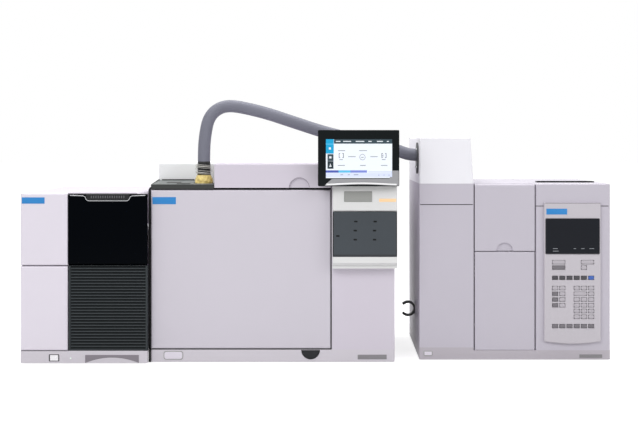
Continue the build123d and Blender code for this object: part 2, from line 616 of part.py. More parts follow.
with BuildPart() as oven_door_latch:
    with BuildSketch(front(gc_front - BUTTON_PROUD)):
        with Locations((latch_centre[0], latch_centre[1] - FIT)):
            Circle(LATCH_RADIUS - FIT)
            Rectangle(
                3 * LATCH_RADIUS, 2 * LATCH_RADIUS, align=(Align.CENTER, Align.MIN), mode=Mode.SUBTRACT
            )
    extrude(amount=-BUTTON_DEPTH)
    fillet(oven_door_latch.edges().group_by(Axis.Y)[0].filter_by(GeomType.CIRCLE), BUTTON_EDGE)
save(oven_door_latch, "oven_door_latch")

with BuildPart() as gc_chassis:
    bar(
        level(BASE_HEIGHT), (gc_left, column_x), (chassis_front, chassis_rear), deck_height - BASE_HEIGHT
    )
    bar(
        level(BASE_HEIGHT), inward((gc_left, column_x), WALL), (oven_front, chassis_rear),
        deck_height - BASE_HEIGHT - WALL, mode=Mode.SUBTRACT,
    )
    bar(front(chassis_front), mouth_x, mouth_z, -WALL, mode=Mode.SUBTRACT)
    rod(level(deck_height), port, PORT_NECK + FIT, -WALL, mode=Mode.SUBTRACT)
    rod(
        side(gc_left), (interface_y, INTERFACE_HEIGHT), INTERFACE_NECK + FIT, WALL, mode=Mode.SUBTRACT
    )
save(gc_chassis, "gc_chassis")

with BuildPart() as oven_insulation:
    bar(front(oven_front), block_x, block_z, -(block_back - oven_front))
    bar(
        front(oven_front), inward(mouth_x, -LINER), inward(mouth_z, -LINER),
        -(oven_back + LINER - oven_front), mode=Mode.SUBTRACT,
    )
    rod(level(block_z[1]), port, PORT_NECK + FIT, -INSULATION, mode=Mode.SUBTRACT)
    rod(
        side(block_x[0]), (interface_y, INTERFACE_HEIGHT), INTERFACE_NECK + FIT, INSULATION,
        mode=Mode.SUBTRACT,
    )
    rod(front(block_back), (oven_x, oven_z), FAN_SHAFT + HOLE_SPACE, INSULATION, mode=Mode.SUBTRACT)
save(oven_insulation, "oven_insulation")

with BuildPart() as oven_liner:
    bar(
        front(oven_front), inward(mouth_x, -LINER), inward(mouth_z, -LINER),
        -(oven_back + LINER - oven_front),
    )
    bar(front(oven_front), mouth_x, mouth_z, -(oven_back - oven_front), mode=Mode.SUBTRACT)
    rod(level(mouth_z[1]), port, PORT_TIP + FIT, LINER, mode=Mode.SUBTRACT)
    rod(
        side(mouth_x[0]), (interface_y, INTERFACE_HEIGHT), INTERFACE_TIP + FIT, -LINER,
        mode=Mode.SUBTRACT,
    )
    rod(front(oven_back), (oven_x, oven_z), FAN_SHAFT + HOLE_SPACE, -LINER, mode=Mode.SUBTRACT)
    with BuildSketch(front(fan_face)):
        with Locations((oven_x, oven_z)):
            Rectangle(OVEN_WIDTH, OVEN_HEIGHT)
            with PolarLocations(0, FAN_INLETS, 180 / FAN_INLETS):
                with Locations((INLET_CENTRE, 0)):
                    SlotOverall(INLET_LENGTH, INLET_WIDTH, mode=Mode.SUBTRACT)
            with GridLocations(
                OVEN_WIDTH - 2 * OUTLET_FROM_SIDE, OVEN_HEIGHT - 2 * OUTLET_FROM_TOP, 2, 2
            ):
                SlotOverall(OUTLET_LENGTH, OUTLET_WIDTH, mode=Mode.SUBTRACT)
    extrude(amount=-LINER)
save(oven_liner, "oven_liner")

fan_front = fan_face + LINER + FAN_SET_BACK
fan_end = fan_front + FAN_DEPTH

with BuildPart() as oven_fan:
    rod(front(fan_front), (oven_x, oven_z), FAN_HUB, -FAN_DEPTH)
    rod(front(fan_end - FAN_PLATE), (oven_x, oven_z), FAN_RADIUS, -FAN_PLATE)
    with BuildSketch(front(fan_front)):
        with Locations((oven_x, oven_z)):
            with PolarLocations(mid(FAN_HUB, FAN_RADIUS) - SHEET, FAN_BLADES):
                Rectangle(FAN_RADIUS - FAN_HUB, SHEET)
    extrude(amount=-FAN_DEPTH)
    rod(front(fan_end), (oven_x, oven_z), FAN_SHAFT, -(block_back - FIT - fan_end))
save(oven_fan, "oven_fan")

with BuildPart() as oven_fan_motor:
    rod(front(block_back), (oven_x, oven_z), MOTOR_RADIUS, -MOTOR_DEPTH)
    fillet(oven_fan_motor.edges().group_by(Axis.Y)[-1], MOTOR_EDGE)
    with BuildSketch(front(block_back)):
        with Locations((oven_x, oven_z)):
            RectangleRounded(MOTOR_PLATE, MOTOR_PLATE, MOTOR_CORNER)
    extrude(amount=-WALL)
save(oven_fan_motor, "oven_fan_motor")

heater_pitch = (oven_back - fan_face - LINER) / (HEATER_TURNS + 1)

with BuildPart() as oven_heater:
    for turn in range(HEATER_TURNS):
        with BuildSketch(front(fan_face + LINER + heater_pitch * (turn + 1))):
            with Locations((oven_x, oven_z)):
                Circle(HEATER_RADIUS + HEATER_WIRE)
                Circle(HEATER_RADIUS - HEATER_WIRE, mode=Mode.SUBTRACT)
        extrude(amount=HEATER_WIRE, both=True)
    with BuildSketch(front(fan_face + LINER)):
        with Locations((oven_x, oven_z)):
            with PolarLocations(HEATER_RADIUS, HEATER_POSTS, 180 / HEATER_POSTS):
                Rectangle(POST_WIDTH, POST_THICKNESS)
    extrude(amount=-(FAN_SPACE - LINER))
save(oven_heater, "oven_heater")

cage_front = oven_front + CAGE_SET_BACK
cage_back = cage_front + COIL_PITCH * COIL_TURNS + 2 * CAGE_MARGIN
cage_radius = COIL_RADIUS - COIL_PITCH / 2 - CAGE_BAR

with BuildPart() as capillary_column:
    with BuildSketch(side(oven_x)):
        with Locations((mid(cage_front, cage_back), oven_z + COIL_RADIUS)):
            with GridLocations(COIL_PITCH, 0, COIL_TURNS, 1):
                Circle(COIL_PITCH / 2 + COIL_TOUCH)
    revolve(axis=Axis((oven_x, 0, oven_z), (0, 1, 0)))
    for place in (cage_front, cage_back - CAGE_BAR):
        with BuildSketch(front(place)):
            with Locations((oven_x, oven_z)):
                Circle(cage_radius + CAGE_BAR)
                Circle(cage_radius - CAGE_BAR, mode=Mode.SUBTRACT)
        extrude(amount=-CAGE_BAR)
    with BuildSketch(front(cage_front)):
        with Locations((oven_x, oven_z)):
            with PolarLocations(cage_radius, CAGE_BARS, 180 / CAGE_BARS):
                Rectangle(2 * CAGE_BAR, 2 * CAGE_BAR)
    extrude(amount=-(cage_back - cage_front))
    with BuildSketch(front(cage_front)):
        with Locations((oven_x, oven_z)):
            with PolarLocations(cage_radius, 2, 180 / CAGE_BARS, 180 - 360 / CAGE_BARS):
                Rectangle(CAGE_BAR, 4 * CAGE_BAR)
    extrude(amount=-(fan_face - cage_front))
save(capillary_column, "capillary_column")

door_x = (gc_left, column_x - SEAM)
door_z = (BASE_HEIGHT + SEAM, deck_height - SEAM)
plug_x = inward(mouth_x, PLUG_CLEARANCE)
plug_z = inward(mouth_z, PLUG_CLEARANCE)

with BuildPart() as oven_door_panel:
    pan(door_x, door_z, gc_front, DOOR_DEPTH)
    rod(level(door_z[0]), hinge, HINGE_PIN + FIT, door_z[1] - door_z[0], mode=Mode.SUBTRACT)
save(oven_door_panel, "oven_door_panel")

with BuildPart() as oven_door_plug:
    with BuildSketch(front(gc_front + WALL)):
        with Locations((mid(*plug_x), mid(*plug_z))):
            RectangleRounded(
                plug_x[1] - plug_x[0] - 2 * PLUG_CLEARANCE, plug_z[1] - plug_z[0] - 2 * PLUG_CLEARANCE,
                PLUG_CORNER,
            )
    extrude(amount=-(DOOR_DEPTH - WALL))
    with BuildSketch(front(gc_front + DOOR_DEPTH)):
        with Locations((mid(*plug_x), mid(*plug_z))):
            RectangleRounded(plug_x[1] - plug_x[0], plug_z[1] - plug_z[0], PLUG_CORNER)
    extrude(amount=-PLUG_DEPTH, taper=PLUG_TAPER)
save(oven_door_plug, "oven_door_plug")

with BuildPart() as ms_interface_tube:
    with BuildSketch(Plane((0, interface_y, INTERFACE_HEIGHT), x_dir=(1, 0, 0), z_dir=(0, -1, 0))):
        with BuildLine():
            Polyline(
                (manifold_right, 0), (manifold_right, INTERFACE_COLLAR),
                (manifold_right + INTERFACE_COLLAR_WIDTH, INTERFACE_COLLAR),
                (manifold_right + INTERFACE_COLLAR_WIDTH, INTERFACE_RADIUS),
                (gc_left - TUBE_STEP, INTERFACE_RADIUS), (gc_left - TUBE_STEP, INTERFACE_NECK),
                (mouth_x[0] - LINER - TUBE_STEP, INTERFACE_NECK),
                (mouth_x[0] - LINER - TUBE_STEP, INTERFACE_TIP),
                (mouth_x[0] + INTERFACE_TIP_REACH, INTERFACE_TIP),
                (mouth_x[0] + INTERFACE_TIP_REACH, 0), close=True,
            )
        make_face()
    revolve(axis=Axis((0, interface_y, INTERFACE_HEIGHT), (1, 0, 0)))
save(ms_interface_tube, "ms_interface_tube")

with BuildPart() as gc_column_cover:
    polygon(
        side(column_x),
        [(gc_front, BASE_HEIGHT), (gc_front, module_high), (gc_front + STEP_START, module_high),
         (gc_front + STEP_END, gc_height), (chassis_rear, gc_height), (chassis_rear, BASE_HEIGHT)],
        GC_COLUMN_WIDTH,
    )
    fillet(gc_column_cover.edges().filter_by(Axis.Z).group_by(Axis.Y)[0], COLUMN_EDGE)
    fillet(gc_column_cover.edges().filter_by(Axis.Y).group_by(Axis.Z)[-1], EDGE)
    offset(
        amount=-WALL,
        openings=[gc_column_cover.faces().sort_by(Axis.Z)[0], gc_column_cover.faces().sort_by(Axis.Y)[-1]],
    )
save(gc_column_cover, "gc_column_cover")

tray_x = (gc_left, gc_left + TRAY_WIDTH)
tray_y = (gc_front, gc_front + TRAY_DEPTH)
lid_x = (tray_x[1] + SEAM / 2, column_x - SEAM)
lid_y = (gc_front, gc_front + LID_DEPTH)
lid_z = (deck_height + LID_LIFT, gc_height)
lid_rear = lid_y[1] + LID_CLEARANCE

with BuildPart() as gc_rear_top_cover:
    with BuildSketch(level(deck_height)):
        with BuildLine():
            Polyline(
                (gc_left, tray_y[1]), (tray_x[1], tray_y[1]), (tray_x[1], lid_rear), (column_x, lid_rear),
                (column_x, chassis_rear), (gc_left, chassis_rear),
                close=True,
            )
        make_face()
    extrude(amount=gc_height - deck_height)
    fillet(gc_rear_top_cover.edges().group_by(Axis.Z)[-1].filter_by(Axis.X).group_by(Axis.Y)[0], EDGE)
    fillet(gc_rear_top_cover.edges().group_by(Axis.Z)[-1].filter_by(Axis.Y).group_by(Axis.X)[0], EDGE)
    offset(amount=-WALL, openings=gc_rear_top_cover.faces().sort_by(Axis.Z)[0])
save(gc_rear_top_cover, "gc_rear_top_cover")

with BuildPart() as gc_detector_lid:
    with BuildSketch(side(lid_x[0])):
        with Locations((mid(*lid_y), mid(*lid_z))):
            Rectangle(LID_DEPTH, lid_z[1] - lid_z[0])
        with Locations((lid_y[1], lid_z[1])):
            Rectangle(2 * LID_EDGE, 2 * LID_EDGE, mode=Mode.SUBTRACT)
        with Locations((lid_y[1] - LID_EDGE, lid_z[1] - LID_EDGE)):
            Circle(LID_EDGE)
    extrude(amount=lid_x[1] - lid_x[0])
    fillet(gc_detector_lid.edges().filter_by(Axis.X).group_by(Axis.Y)[0].group_by(Axis.Z)[-1], EDGE)
    bar(
        level(lid_z[0]), inward(lid_x, WALL), (lid_y[0] + WALL, lid_y[1] - LID_EDGE),
        lid_z[1] - lid_z[0] - WALL, mode=Mode.SUBTRACT,
    )
    scoop(lid_y[0], (lid_x[0] + LID_NOTCH_FROM_LEFT, lid_z[0]), LID_NOTCH_RADIUS)
save(gc_detector_lid, "gc_detector_lid")

with BuildPart() as gc_inlet_tray:
    bar(level(deck_height), tray_x, tray_y, TRAY_FLOOR)
    bar(level(deck_height), tray_x, (tray_y[0], tray_y[0] + TRAY_RAIL), TRAY_LIP)
    for rail in (tray_x[0], tray_x[1] - TRAY_RAIL):
        polygon(
            side(rail),
            [(tray_y[0], deck_height), (tray_y[0], deck_height + TRAY_LIP),
             (tray_y[1], deck_height + TRAY_BACK), (tray_y[1], deck_height)],
            TRAY_RAIL,
        )
    with BuildSketch(level(deck_height + TRAY_FLOOR)):
        with Locations((mid(*tray_x) - GRATE_OFFSET, mid(*tray_y))):
            RectangleRounded(GRATE_WIDTH, TRAY_DEPTH - 2 * GRATE_INSET, EDGE)
            with GridLocations(0, VENT_PITCH, 1, GRATE_SLOTS):
                SlotOverall(GRATE_SLOT_LENGTH, VENT_SLOT, mode=Mode.SUBTRACT)
    extrude(amount=GRATE_HEIGHT)
    rod(level(deck_height), port, PORT_NECK + FIT, TRAY_FLOOR, mode=Mode.SUBTRACT)
    rod(level(deck_height), hinge, HINGE_PIN, -HINGE_PIN_LENGTH)
save(gc_inlet_tray, "gc_inlet_tray")

port_seat = deck_height + TRAY_FLOOR

with BuildPart() as gc_inlet_port:
    with BuildSketch(Plane((*port, 0), x_dir=(1, 0, 0), z_dir=(0, -1, 0))):
        with BuildLine():
            Polyline(
                (0, port_seat + PORT_TOP), (PORT_RADIUS, port_seat + PORT_TOP),
                (PORT_RADIUS, port_seat), (PORT_NECK, port_seat),
                (PORT_NECK, mouth_z[1] + LINER + TUBE_STEP), (PORT_TIP, mouth_z[1] + LINER + TUBE_STEP),
                (PORT_TIP, mouth_z[1] - PORT_TIP_REACH + PORT_CONE), (0, mouth_z[1] - PORT_TIP_REACH),
                close=True,
            )
        make_face()
    revolve(axis=Axis((*port, 0), (0, 0, 1)))
save(gc_inlet_port, "gc_inlet_port")

# ---------------------------------------------------------------- front module and touch screen
module_x = (column_x + SEAM, gc_right + MODULE_OVERHANG)
chin_top = module_low + CHIN_HEIGHT
ledge_low = module_low - LEDGE_HEIGHT
hatch_top = chin_top + HATCH_HEIGHT
chin_y = gc_front - MODULE_REACH
brow_y = gc_front - MODULE_TOP_REACH
hatch_x = inward(module_x, HATCH_INSET)
hatch_pivot = (brow_y + HATCH_THICKNESS / 2, hatch_top - HATCH_THICKNESS)
hatch_foot = (chin_y + HATCH_THICKNESS / 2 + SHUT_GAP, chin_top + FIT + HATCH_THICKNESS / 2)
slot_y = chin_y + HATCH_THICKNESS + WALL
reader_x = (module_x[0] + READER_LEFT, module_x[0] + READER_LEFT + READER_WIDTH)
reader_z = (module_high - READER_FROM_TOP - READER_HEIGHT, module_high - READER_FROM_TOP)

with BuildPart() as gc_front_module:
    polygon(
        side(module_x[0]),
        [(gc_front, ledge_low), (gc_front - LEDGE_REACH, ledge_low), (gc_front - LEDGE_REACH, module_low),
         (chin_y + CHIN_SLOPE, module_low), (chin_y, module_low + CHIN_SLOPE), (chin_y, chin_top),
         (brow_y, hatch_top), (brow_y, module_high), (gc_front, module_high)],
        module_x[1] - module_x[0],
    )
    fillet(gc_front_module.edges().filter_by(Axis.Z).group_by(Axis.Y)[0], MODULE_EDGE)
    polygon(
        side(module_x[0]),
        [(chin_y - SHUT_GAP, chin_top), (slot_y, chin_top),
         (brow_y + HATCH_THICKNESS + SHEET, hatch_top), (brow_y - SHUT_GAP, hatch_top)],
        module_x[1] - module_x[0], mode=Mode.SUBTRACT,
    )
    bar(
        front(slot_y), inward(module_x, SLOT_FRAME), inward((chin_top, hatch_top), SLOT_SILL),
        -(gc_front - WALL - slot_y), mode=Mode.SUBTRACT,
    )
    bar(
        front(brow_y), reader_x, reader_z, -READER_DEPTH, corner=READER_CORNER, mode=Mode.SUBTRACT
    )
save(gc_front_module, "gc_front_module")

with BuildPart() as gc_smoked_hatch:
    with BuildSketch(side(hatch_x[0])):
        SlotCenterPoint(
            (mid(hatch_pivot[0], hatch_foot[0]), mid(hatch_pivot[1], hatch_foot[1])), hatch_pivot,
            HATCH_THICKNESS,
        )
    extrude(amount=hatch_x[1] - hatch_x[0])
save(gc_smoked_hatch, "gc_smoked_hatch")

screen_x = (column_x - SCREEN_LEFT_OF_COLUMN, column_x - SCREEN_LEFT_OF_COLUMN + SCREEN_WIDTH)
screen_z = (module_high, module_high + SCREEN_HEIGHT)
screen_y = gc_front - SCREEN_REACH

with BuildPart() as screen_housing:
    bar(
        front(screen_y + SCREEN_GLASS), screen_x, screen_z, -(SCREEN_DEPTH - SCREEN_GLASS),
        corner=SCREEN_CORNER,
    )
    chamfer(screen_housing.edges().group_by(Axis.Y)[-1], SCREEN_RIM)
    bar(
        front(screen_y), inward(screen_x, SCREEN_CHIN_INSET), (screen_z[0], screen_z[0] + SCREEN_CHIN - FIT),
        -SCREEN_GLASS,
    )
save(screen_housing, "screen_housing")

with BuildPart() as screen_glass:
    bar(
        front(screen_y), inward(screen_x, SCREEN_RIM / 2),
        (screen_z[0] + SCREEN_CHIN, screen_z[1] - SCREEN_RIM / 2), -SCREEN_GLASS, corner=SCREEN_RIM,
    )
save(screen_glass, "screen_glass")

# ---------------------------------------------------------------- chromatograph rear
vent_x = (oven_x - VENT_WIDTH / 2, oven_x + VENT_WIDTH / 2)
vent_level = oven_z + VENT_ABOVE_OVEN
vent_z = (vent_level - VENT_HEIGHT / 2, vent_level + VENT_HEIGHT / 2)
flap_z = (vent_z[0] + FIT, vent_z[1] - SHEET / 2)

with BuildPart() as gc_rear_panel:
    bar(front(gc_rear), (gc_left, gc_right), (BASE_HEIGHT, gc_height), SHEET)
    bar(front(gc_rear), vent_x, vent_z, SHEET, mode=Mode.SUBTRACT)
    with BuildSketch(front(gc_rear)):
        with Locations((mid(column_x, gc_right), mid(BASE_HEIGHT, gc_height))):
            with GridLocations(0, VENT_PITCH, 1, COLUMN_VENT_SLOTS):
                SlotOverall(COLUMN_VENT_WIDTH, VENT_SLOT)
    extrude(amount=SHEET, mode=Mode.SUBTRACT)
    with BuildSketch(front(gc_rear)):
        with Locations((gc_left + FITTING_FROM_LEFT, FITTING_LEVEL)):
            with GridLocations(FITTING_PITCH, 0, FITTINGS, 1):
                RegularPolygon(FITTING_NUT, 6)
    extrude(amount=-FITTING_NUT_LENGTH)
    with BuildSketch(front(gc_rear)):
        with Locations((gc_left + FITTING_FROM_LEFT, FITTING_LEVEL)):
            with GridLocations(FITTING_PITCH, 0, FITTINGS, 1):
                Circle(FITTING_RADIUS)
    extrude(amount=-FITTING_LENGTH)
save(gc_rear_panel, "gc_rear_panel")

with BuildPart() as oven_vent_flap:
    bar(front(gc_rear), inward(vent_x, FIT), flap_z, SHEET)
save(oven_vent_flap, "oven_vent_flap")

# ---------------------------------------------------------------- transfer line
boot_low = port_seat + PORT_TOP
boot_high = boot_low + BOOT_HEIGHT
hose_start = Vector(*port, boot_high + SLEEVE_HEIGHT)
hose_route = [hose_start + Vector(corner) for corner in LINE_ROUTE]

with BuildPart() as line_boot:
    with BuildSketch(level(boot_low)):
        with Locations(port):
            Circle(BOOT_BASE_RADIUS)
    with BuildSketch(level(boot_high - BOOT_BAND)):
        with Locations(port):
            Circle(BOOT_TOP_RADIUS)
    loft()
    rod(level(boot_high - BOOT_BAND), port, BOOT_TOP_RADIUS, BOOT_BAND)
    fillet(line_boot.edges().group_by(Axis.Z)[-1], BOOT_EDGE)
save(line_boot, "line_boot")

with BuildPart() as line_sleeve:
    rod(level(boot_high), port, SLEEVE_RADIUS, SLEEVE_HEIGHT)
    for place in CLAMP_PLACES:
        with BuildSketch(level(boot_high + place)):
            with Locations(port):
                Circle(SLEEVE_RADIUS + CLAMP_WIRE)
        extrude(amount=2 * CLAMP_WIRE)
save(line_sleeve, "line_sleeve")


def route_radii(points):
    """Arc radius at each inner corner: a share of the shorter run over the tangent of half the turn."""
    radii = []
    for before, corner, after in zip(points, points[1:], points[2:]):
        run_in = corner - before
        run_out = after - corner
        half_turn = run_in.get_angle(run_out) / 2
        shorter = min(run_in.length, run_out.length)
        radii.append(ARC_SHARE * shorter / math.tan(math.radians(half_turn)))
    return radii


hose_radii = route_radii(hose_route)
print("hose radii:", [round(radius) for radius in hose_radii])

with BuildPart() as transfer_hose:
    with BuildLine() as hose_line:
        FilletPolyline(*hose_route, radius=hose_radii)
    with BuildSketch(Plane(hose_line.line @ 0, z_dir=hose_line.line % 0)):
        Circle(LINE_DIAMETER / 2)
    sweep()
print("hose length:", round(sum(edge.length for edge in hose_line.line.edges()), 1))
save(transfer_hose, "transfer_hose")

with BuildPart() as line_flange:
    rod(
        side(hs_left), (hose_route[-1].Y, hose_route[-1].Z - FLANGE_DROP), FLANGE_RADIUS,
        -FLANGE_THICKNESS,
    )
    fillet(line_flange.edges().group_by(Axis.X)[0], FLANGE_EDGE)
save(line_flange, "line_flange")

# ---------------------------------------------------------------- headspace sampler
left_end = hs_left + HS_LEFT_WIDTH
mid_end = left_end + HS_MID_WIDTH
right_start = mid_end + SEAM
hs_back = rear - SHEET
panel_back = hs_front + HS_FRONT_DEPTH
hs_power_x = (hs_left + HS_POWER_LEFT, hs_left + HS_POWER_LEFT + HS_POWER_WIDTH)
hs_power_z = (HS_POWER_LOW, HS_POWER_LOW + HS_POWER_HEIGHT)

with BuildPart() as hs_base_tray:
    polygon(
        front(hs_front),
        [(hs_left, FOOT_HEIGHT), (hs_right, FOOT_HEIGHT), (hs_right, HS_BASE_HEIGHT),
         (left_end, HS_BASE_HEIGHT), (left_end, HS_LEFT_BASE), (hs_left, HS_LEFT_BASE)],
        -HS_DEPTH,
    )
    fillet(hs_base_tray.edges().filter_by(Axis.Z).group_by(Axis.Y)[0], HS_EDGE)
    bar(
        level(floor_top), inward((hs_left, hs_right), WALL), inward((hs_front, rear), WALL),
        HS_BASE_HEIGHT - floor_top - WALL, mode=Mode.SUBTRACT,
    )
    bar(
        level(floor_top), inward((hs_left, hs_right), WALL), (panel_back + WALL, rear - WALL),
        HS_LEFT_BASE, mode=Mode.SUBTRACT,
    )
    bar(
        front(hs_front), inward(hs_power_x, -FIT), inward(hs_power_z, -FIT), -WALL, mode=Mode.SUBTRACT
    )
save(hs_base_tray, "hs_base_tray")

with BuildPart() as hs_power_button:
    bar(front(hs_front - BUTTON_PROUD), hs_power_x, hs_power_z, -BUTTON_DEPTH)
    fillet(hs_power_button.edges().group_by(Axis.Y)[0], BUTTON_EDGE)
save(hs_power_button, "hs_power_button")

with BuildPart() as hs_left_cover:
    bar(level(HS_LEFT_BASE), (hs_left, left_end), (hs_front, hs_back), HS_HEIGHT - HS_LEFT_BASE)
    fillet(hs_left_cover.edges().filter_by(Axis.Z).group_by(Axis.Y)[0], HS_EDGE)
    offset(
        amount=-WALL,
        openings=[hs_left_cover.faces().sort_by(Axis.Z)[0], hs_left_cover.faces().sort_by(Axis.Y)[-1]],
    )
    bar(
        front(hs_front), (hs_left, left_end), (HS_LEFT_SEAM, HS_LEFT_SEAM + SEAM), -GROOVE,
        mode=Mode.SUBTRACT,
    )
save(hs_left_cover, "hs_left_cover")

tower_top = HS_HEIGHT + HS_TOWER_HEIGHT
tower_outline = [
    (hs_left, HS_HEIGHT), (left_end, HS_HEIGHT), (left_end - HS_TOWER_LEAN, tower_top),
    (hs_left, tower_top),
]

with BuildPart() as hs_tower:
    polygon(front(hs_front), tower_outline, -(hs_back - hs_front))
    fillet(hs_tower.edges().filter_by(Axis.Y).group_by(Axis.Z)[-1], EDGE)
    fillet(hs_tower.edges().group_by(Axis.Y)[0].sort_by(Axis.Z)[1:], EDGE)
    offset(
        amount=-WALL, openings=[hs_tower.faces().sort_by(Axis.Z)[0], hs_tower.faces().sort_by(Axis.Y)[-1]]
    )
save(hs_tower, "hs_tower")

bay_x = (left_end + SEAM, mid_end)
bay_front = panel_back + BAY_CLEARANCE
bay_back = bay_front + BAY_DEPTH
spindle = (mid(*bay_x), mid(bay_front, bay_back))

with BuildPart() as hs_vial_bay:
    bar(level(HS_SPLIT), bay_x, (bay_front, hs_back), HS_HEIGHT - HS_SPLIT)
    bar(
        level(HS_SPLIT + EDGE), inward(bay_x, WALL), (bay_front, bay_back),
        HS_HEIGHT - HS_SPLIT - EDGE - WALL, mode=Mode.SUBTRACT,
    )
    bar(
        level(HS_SPLIT), inward(bay_x, WALL), (bay_back + WALL, hs_back), HS_HEIGHT - HS_SPLIT - WALL,
        mode=Mode.SUBTRACT,
    )
    rod(level(HS_SPLIT + EDGE), spindle, SPINDLE_RADIUS, SPINDLE_HEIGHT)
    for wall in (bay_x[0], bay_x[1] - WALL):
        bar(side(wall), (bay_back, hs_back), (HS_BASE_HEIGHT, HS_SPLIT), WALL)
save(hs_vial_bay, "hs_vial_bay")

carousel_low = HS_SPLIT + EDGE
plate_low = carousel_low + CAROUSEL_LIFT
plate_high = plate_low + CAROUSEL_GAP

with BuildPart() as hs_carousel:
    for low in (plate_low, plate_high):
        with BuildSketch(level(low)):
            with Locations(spindle):
                Circle(CAROUSEL_RADIUS)
        extrude(amount=CAROUSEL_PLATE)
    rod(level(carousel_low + FIT), spindle, CAROUSEL_HUB, plate_high + CAROUSEL_GRIP - carousel_low)
    with BuildSketch(level(plate_high)):
        with Locations(spindle):
            with PolarLocations(VIAL_CIRCLE, VIALS):
                Circle(VIAL_RADIUS + FIT)
    extrude(amount=CAROUSEL_PLATE, mode=Mode.SUBTRACT)
    rod(
        level(carousel_low), spindle, SPINDLE_RADIUS + FIT, SPINDLE_HEIGHT + FIT, mode=Mode.SUBTRACT
    )
save(hs_carousel, "hs_carousel")

vial_low = plate_low + CAROUSEL_PLATE

with BuildPart() as hs_vials:
    with Locations((spindle[0], spindle[1], vial_low)):
        with PolarLocations(VIAL_CIRCLE, VIALS):
            Cylinder(VIAL_RADIUS, VIAL_HEIGHT - 2 * CAP_HEIGHT, align=STANDING)
    with Locations((spindle[0], spindle[1], vial_low + VIAL_HEIGHT - 2 * CAP_HEIGHT)):
        with PolarLocations(VIAL_CIRCLE, VIALS):
            Cone(VIAL_RADIUS, VIAL_NECK, CAP_HEIGHT, align=STANDING)
    with Locations((spindle[0], spindle[1], vial_low + VIAL_HEIGHT - CAP_HEIGHT)):
        with PolarLocations(VIAL_CIRCLE, VIALS):
            Cylinder(CAP_RADIUS, CAP_HEIGHT, align=STANDING)
save(hs_vials, "hs_vials")

flap_x = inward(bay_x, FIT)
flap_high = HS_HEIGHT - FLAP_DROP
flap_pivot = (hs_front + HS_FRONT_DEPTH / 2, flap_high - HS_FRONT_DEPTH / 2)

with BuildPart() as hs_tray_flap:
    with BuildSketch(side(flap_x[0])):
        with Locations(flap_pivot):
            Circle(HS_FRONT_DEPTH / 2)
            Rectangle(
                HS_FRONT_DEPTH, flap_pivot[1] - HS_SPLIT - SEAM / 2, align=(Align.CENTER, Align.MAX)
            )
    extrude(amount=flap_x[1] - flap_x[0])
    bar(
        front(hs_front + WALL), inward(flap_x, WALL), (HS_SPLIT + SEAM / 2 + WALL, flap_pivot[1] - EDGE),
        -HS_FRONT_DEPTH, mode=Mode.SUBTRACT,
    )
    scoop(hs_front, (mid(*bay_x), HS_SPLIT + SEAM / 2), FLAP_NOTCH)
save(hs_tray_flap, "hs_tray_flap")

with BuildPart() as hs_lower_panel:
    pan(flap_x, (HS_BASE_HEIGHT, HS_SPLIT - SEAM / 2), hs_front, HS_FRONT_DEPTH, edge=HS_EDGE)
save(hs_lower_panel, "hs_lower_panel")

with BuildPart() as hs_right_cover:
    bar(level(HS_BASE_HEIGHT), (right_start, hs_right), (hs_front, hs_back), HS_HEIGHT - HS_BASE_HEIGHT)
    fillet(hs_right_cover.edges().filter_by(Axis.Z).group_by(Axis.Y)[0], EDGE)
    fillet(hs_right_cover.edges().filter_by(Axis.Y).group_by(Axis.Z)[-1].group_by(Axis.X)[-1], EDGE)
    offset(
        amount=-WALL,
        openings=[hs_right_cover.faces().sort_by(Axis.Z)[0], hs_right_cover.faces().sort_by(Axis.Y)[-1]],
    )
    bar(
        front(hs_front), (right_start, hs_right), (HS_RIGHT_SEAM, HS_RIGHT_SEAM + SEAM), -GROOVE,
        mode=Mode.SUBTRACT,
    )
    bar(
        level(HS_HEIGHT), (hs_left + HANDLE_LEFT, hs_left + HANDLE_RIGHT),
        (hs_front + HANDLE_SET_BACK, hs_front + HANDLE_SET_BACK + HANDLE_WIDTH), -WALL,
        corner=HANDLE_CORNER, mode=Mode.SUBTRACT,
    )
save(hs_right_cover, "hs_right_cover")

console_front = hs_front - CONSOLE_PROUD
console_x = (hs_left + CONSOLE_LEFT, hs_left + CONSOLE_RIGHT)
display_x = (hs_left + DISPLAY_LEFT, hs_left + DISPLAY_RIGHT)
display_z = (DISPLAY_LOW, DISPLAY_HIGH)
key_x = [hs_left + KEY_FIRST + column * KEY_PITCH for column in range(KEY_COLUMNS)]
row_z = [FIRST_ROW - row * ROW_PITCH for row in range(KEY_ROWS)]
double = KEY_WIDTH + KEY_PITCH
pair_step = KEY_PITCH / 2

menu_keys = [(x, FUNCTION_ROW, KEY_WIDTH) for x in key_x] + [(x, BOTTOM_ROW, KEY_WIDTH) for x in key_x]
menu_keys += [(x, z, KEY_WIDTH) for x in key_x[:2] for z in row_z[:4]]
number_keys = [(x, z, KEY_WIDTH) for x in key_x[3:] for z in [row_z[0]] + row_z[2:]]
number_keys += [(key_x[3] + pair_step, row_z[1], double), (key_x[5], row_z[1], KEY_WIDTH)]
command_keys = [
    (key_x[0] + pair_step, COMMAND_ROW, double), (key_x[4] + pair_step, COMMAND_ROW, double),
    (key_x[0] + pair_step, SECOND_COMMAND_ROW, double), (key_x[4], SECOND_COMMAND_ROW, KEY_WIDTH),
]


def keys(plane, places, grow, length, mode=Mode.ADD):
    """Rectangular keys, or their holes, at (centre x, centre z, width)."""
    with BuildSketch(plane) as outline:
        for x, z, width in places:
            with Locations((x, z)):
                Rectangle(width + 2 * grow, KEY_HEIGHT + 2 * grow)
    extrude(outline.sketch, amount=length, mode=mode)


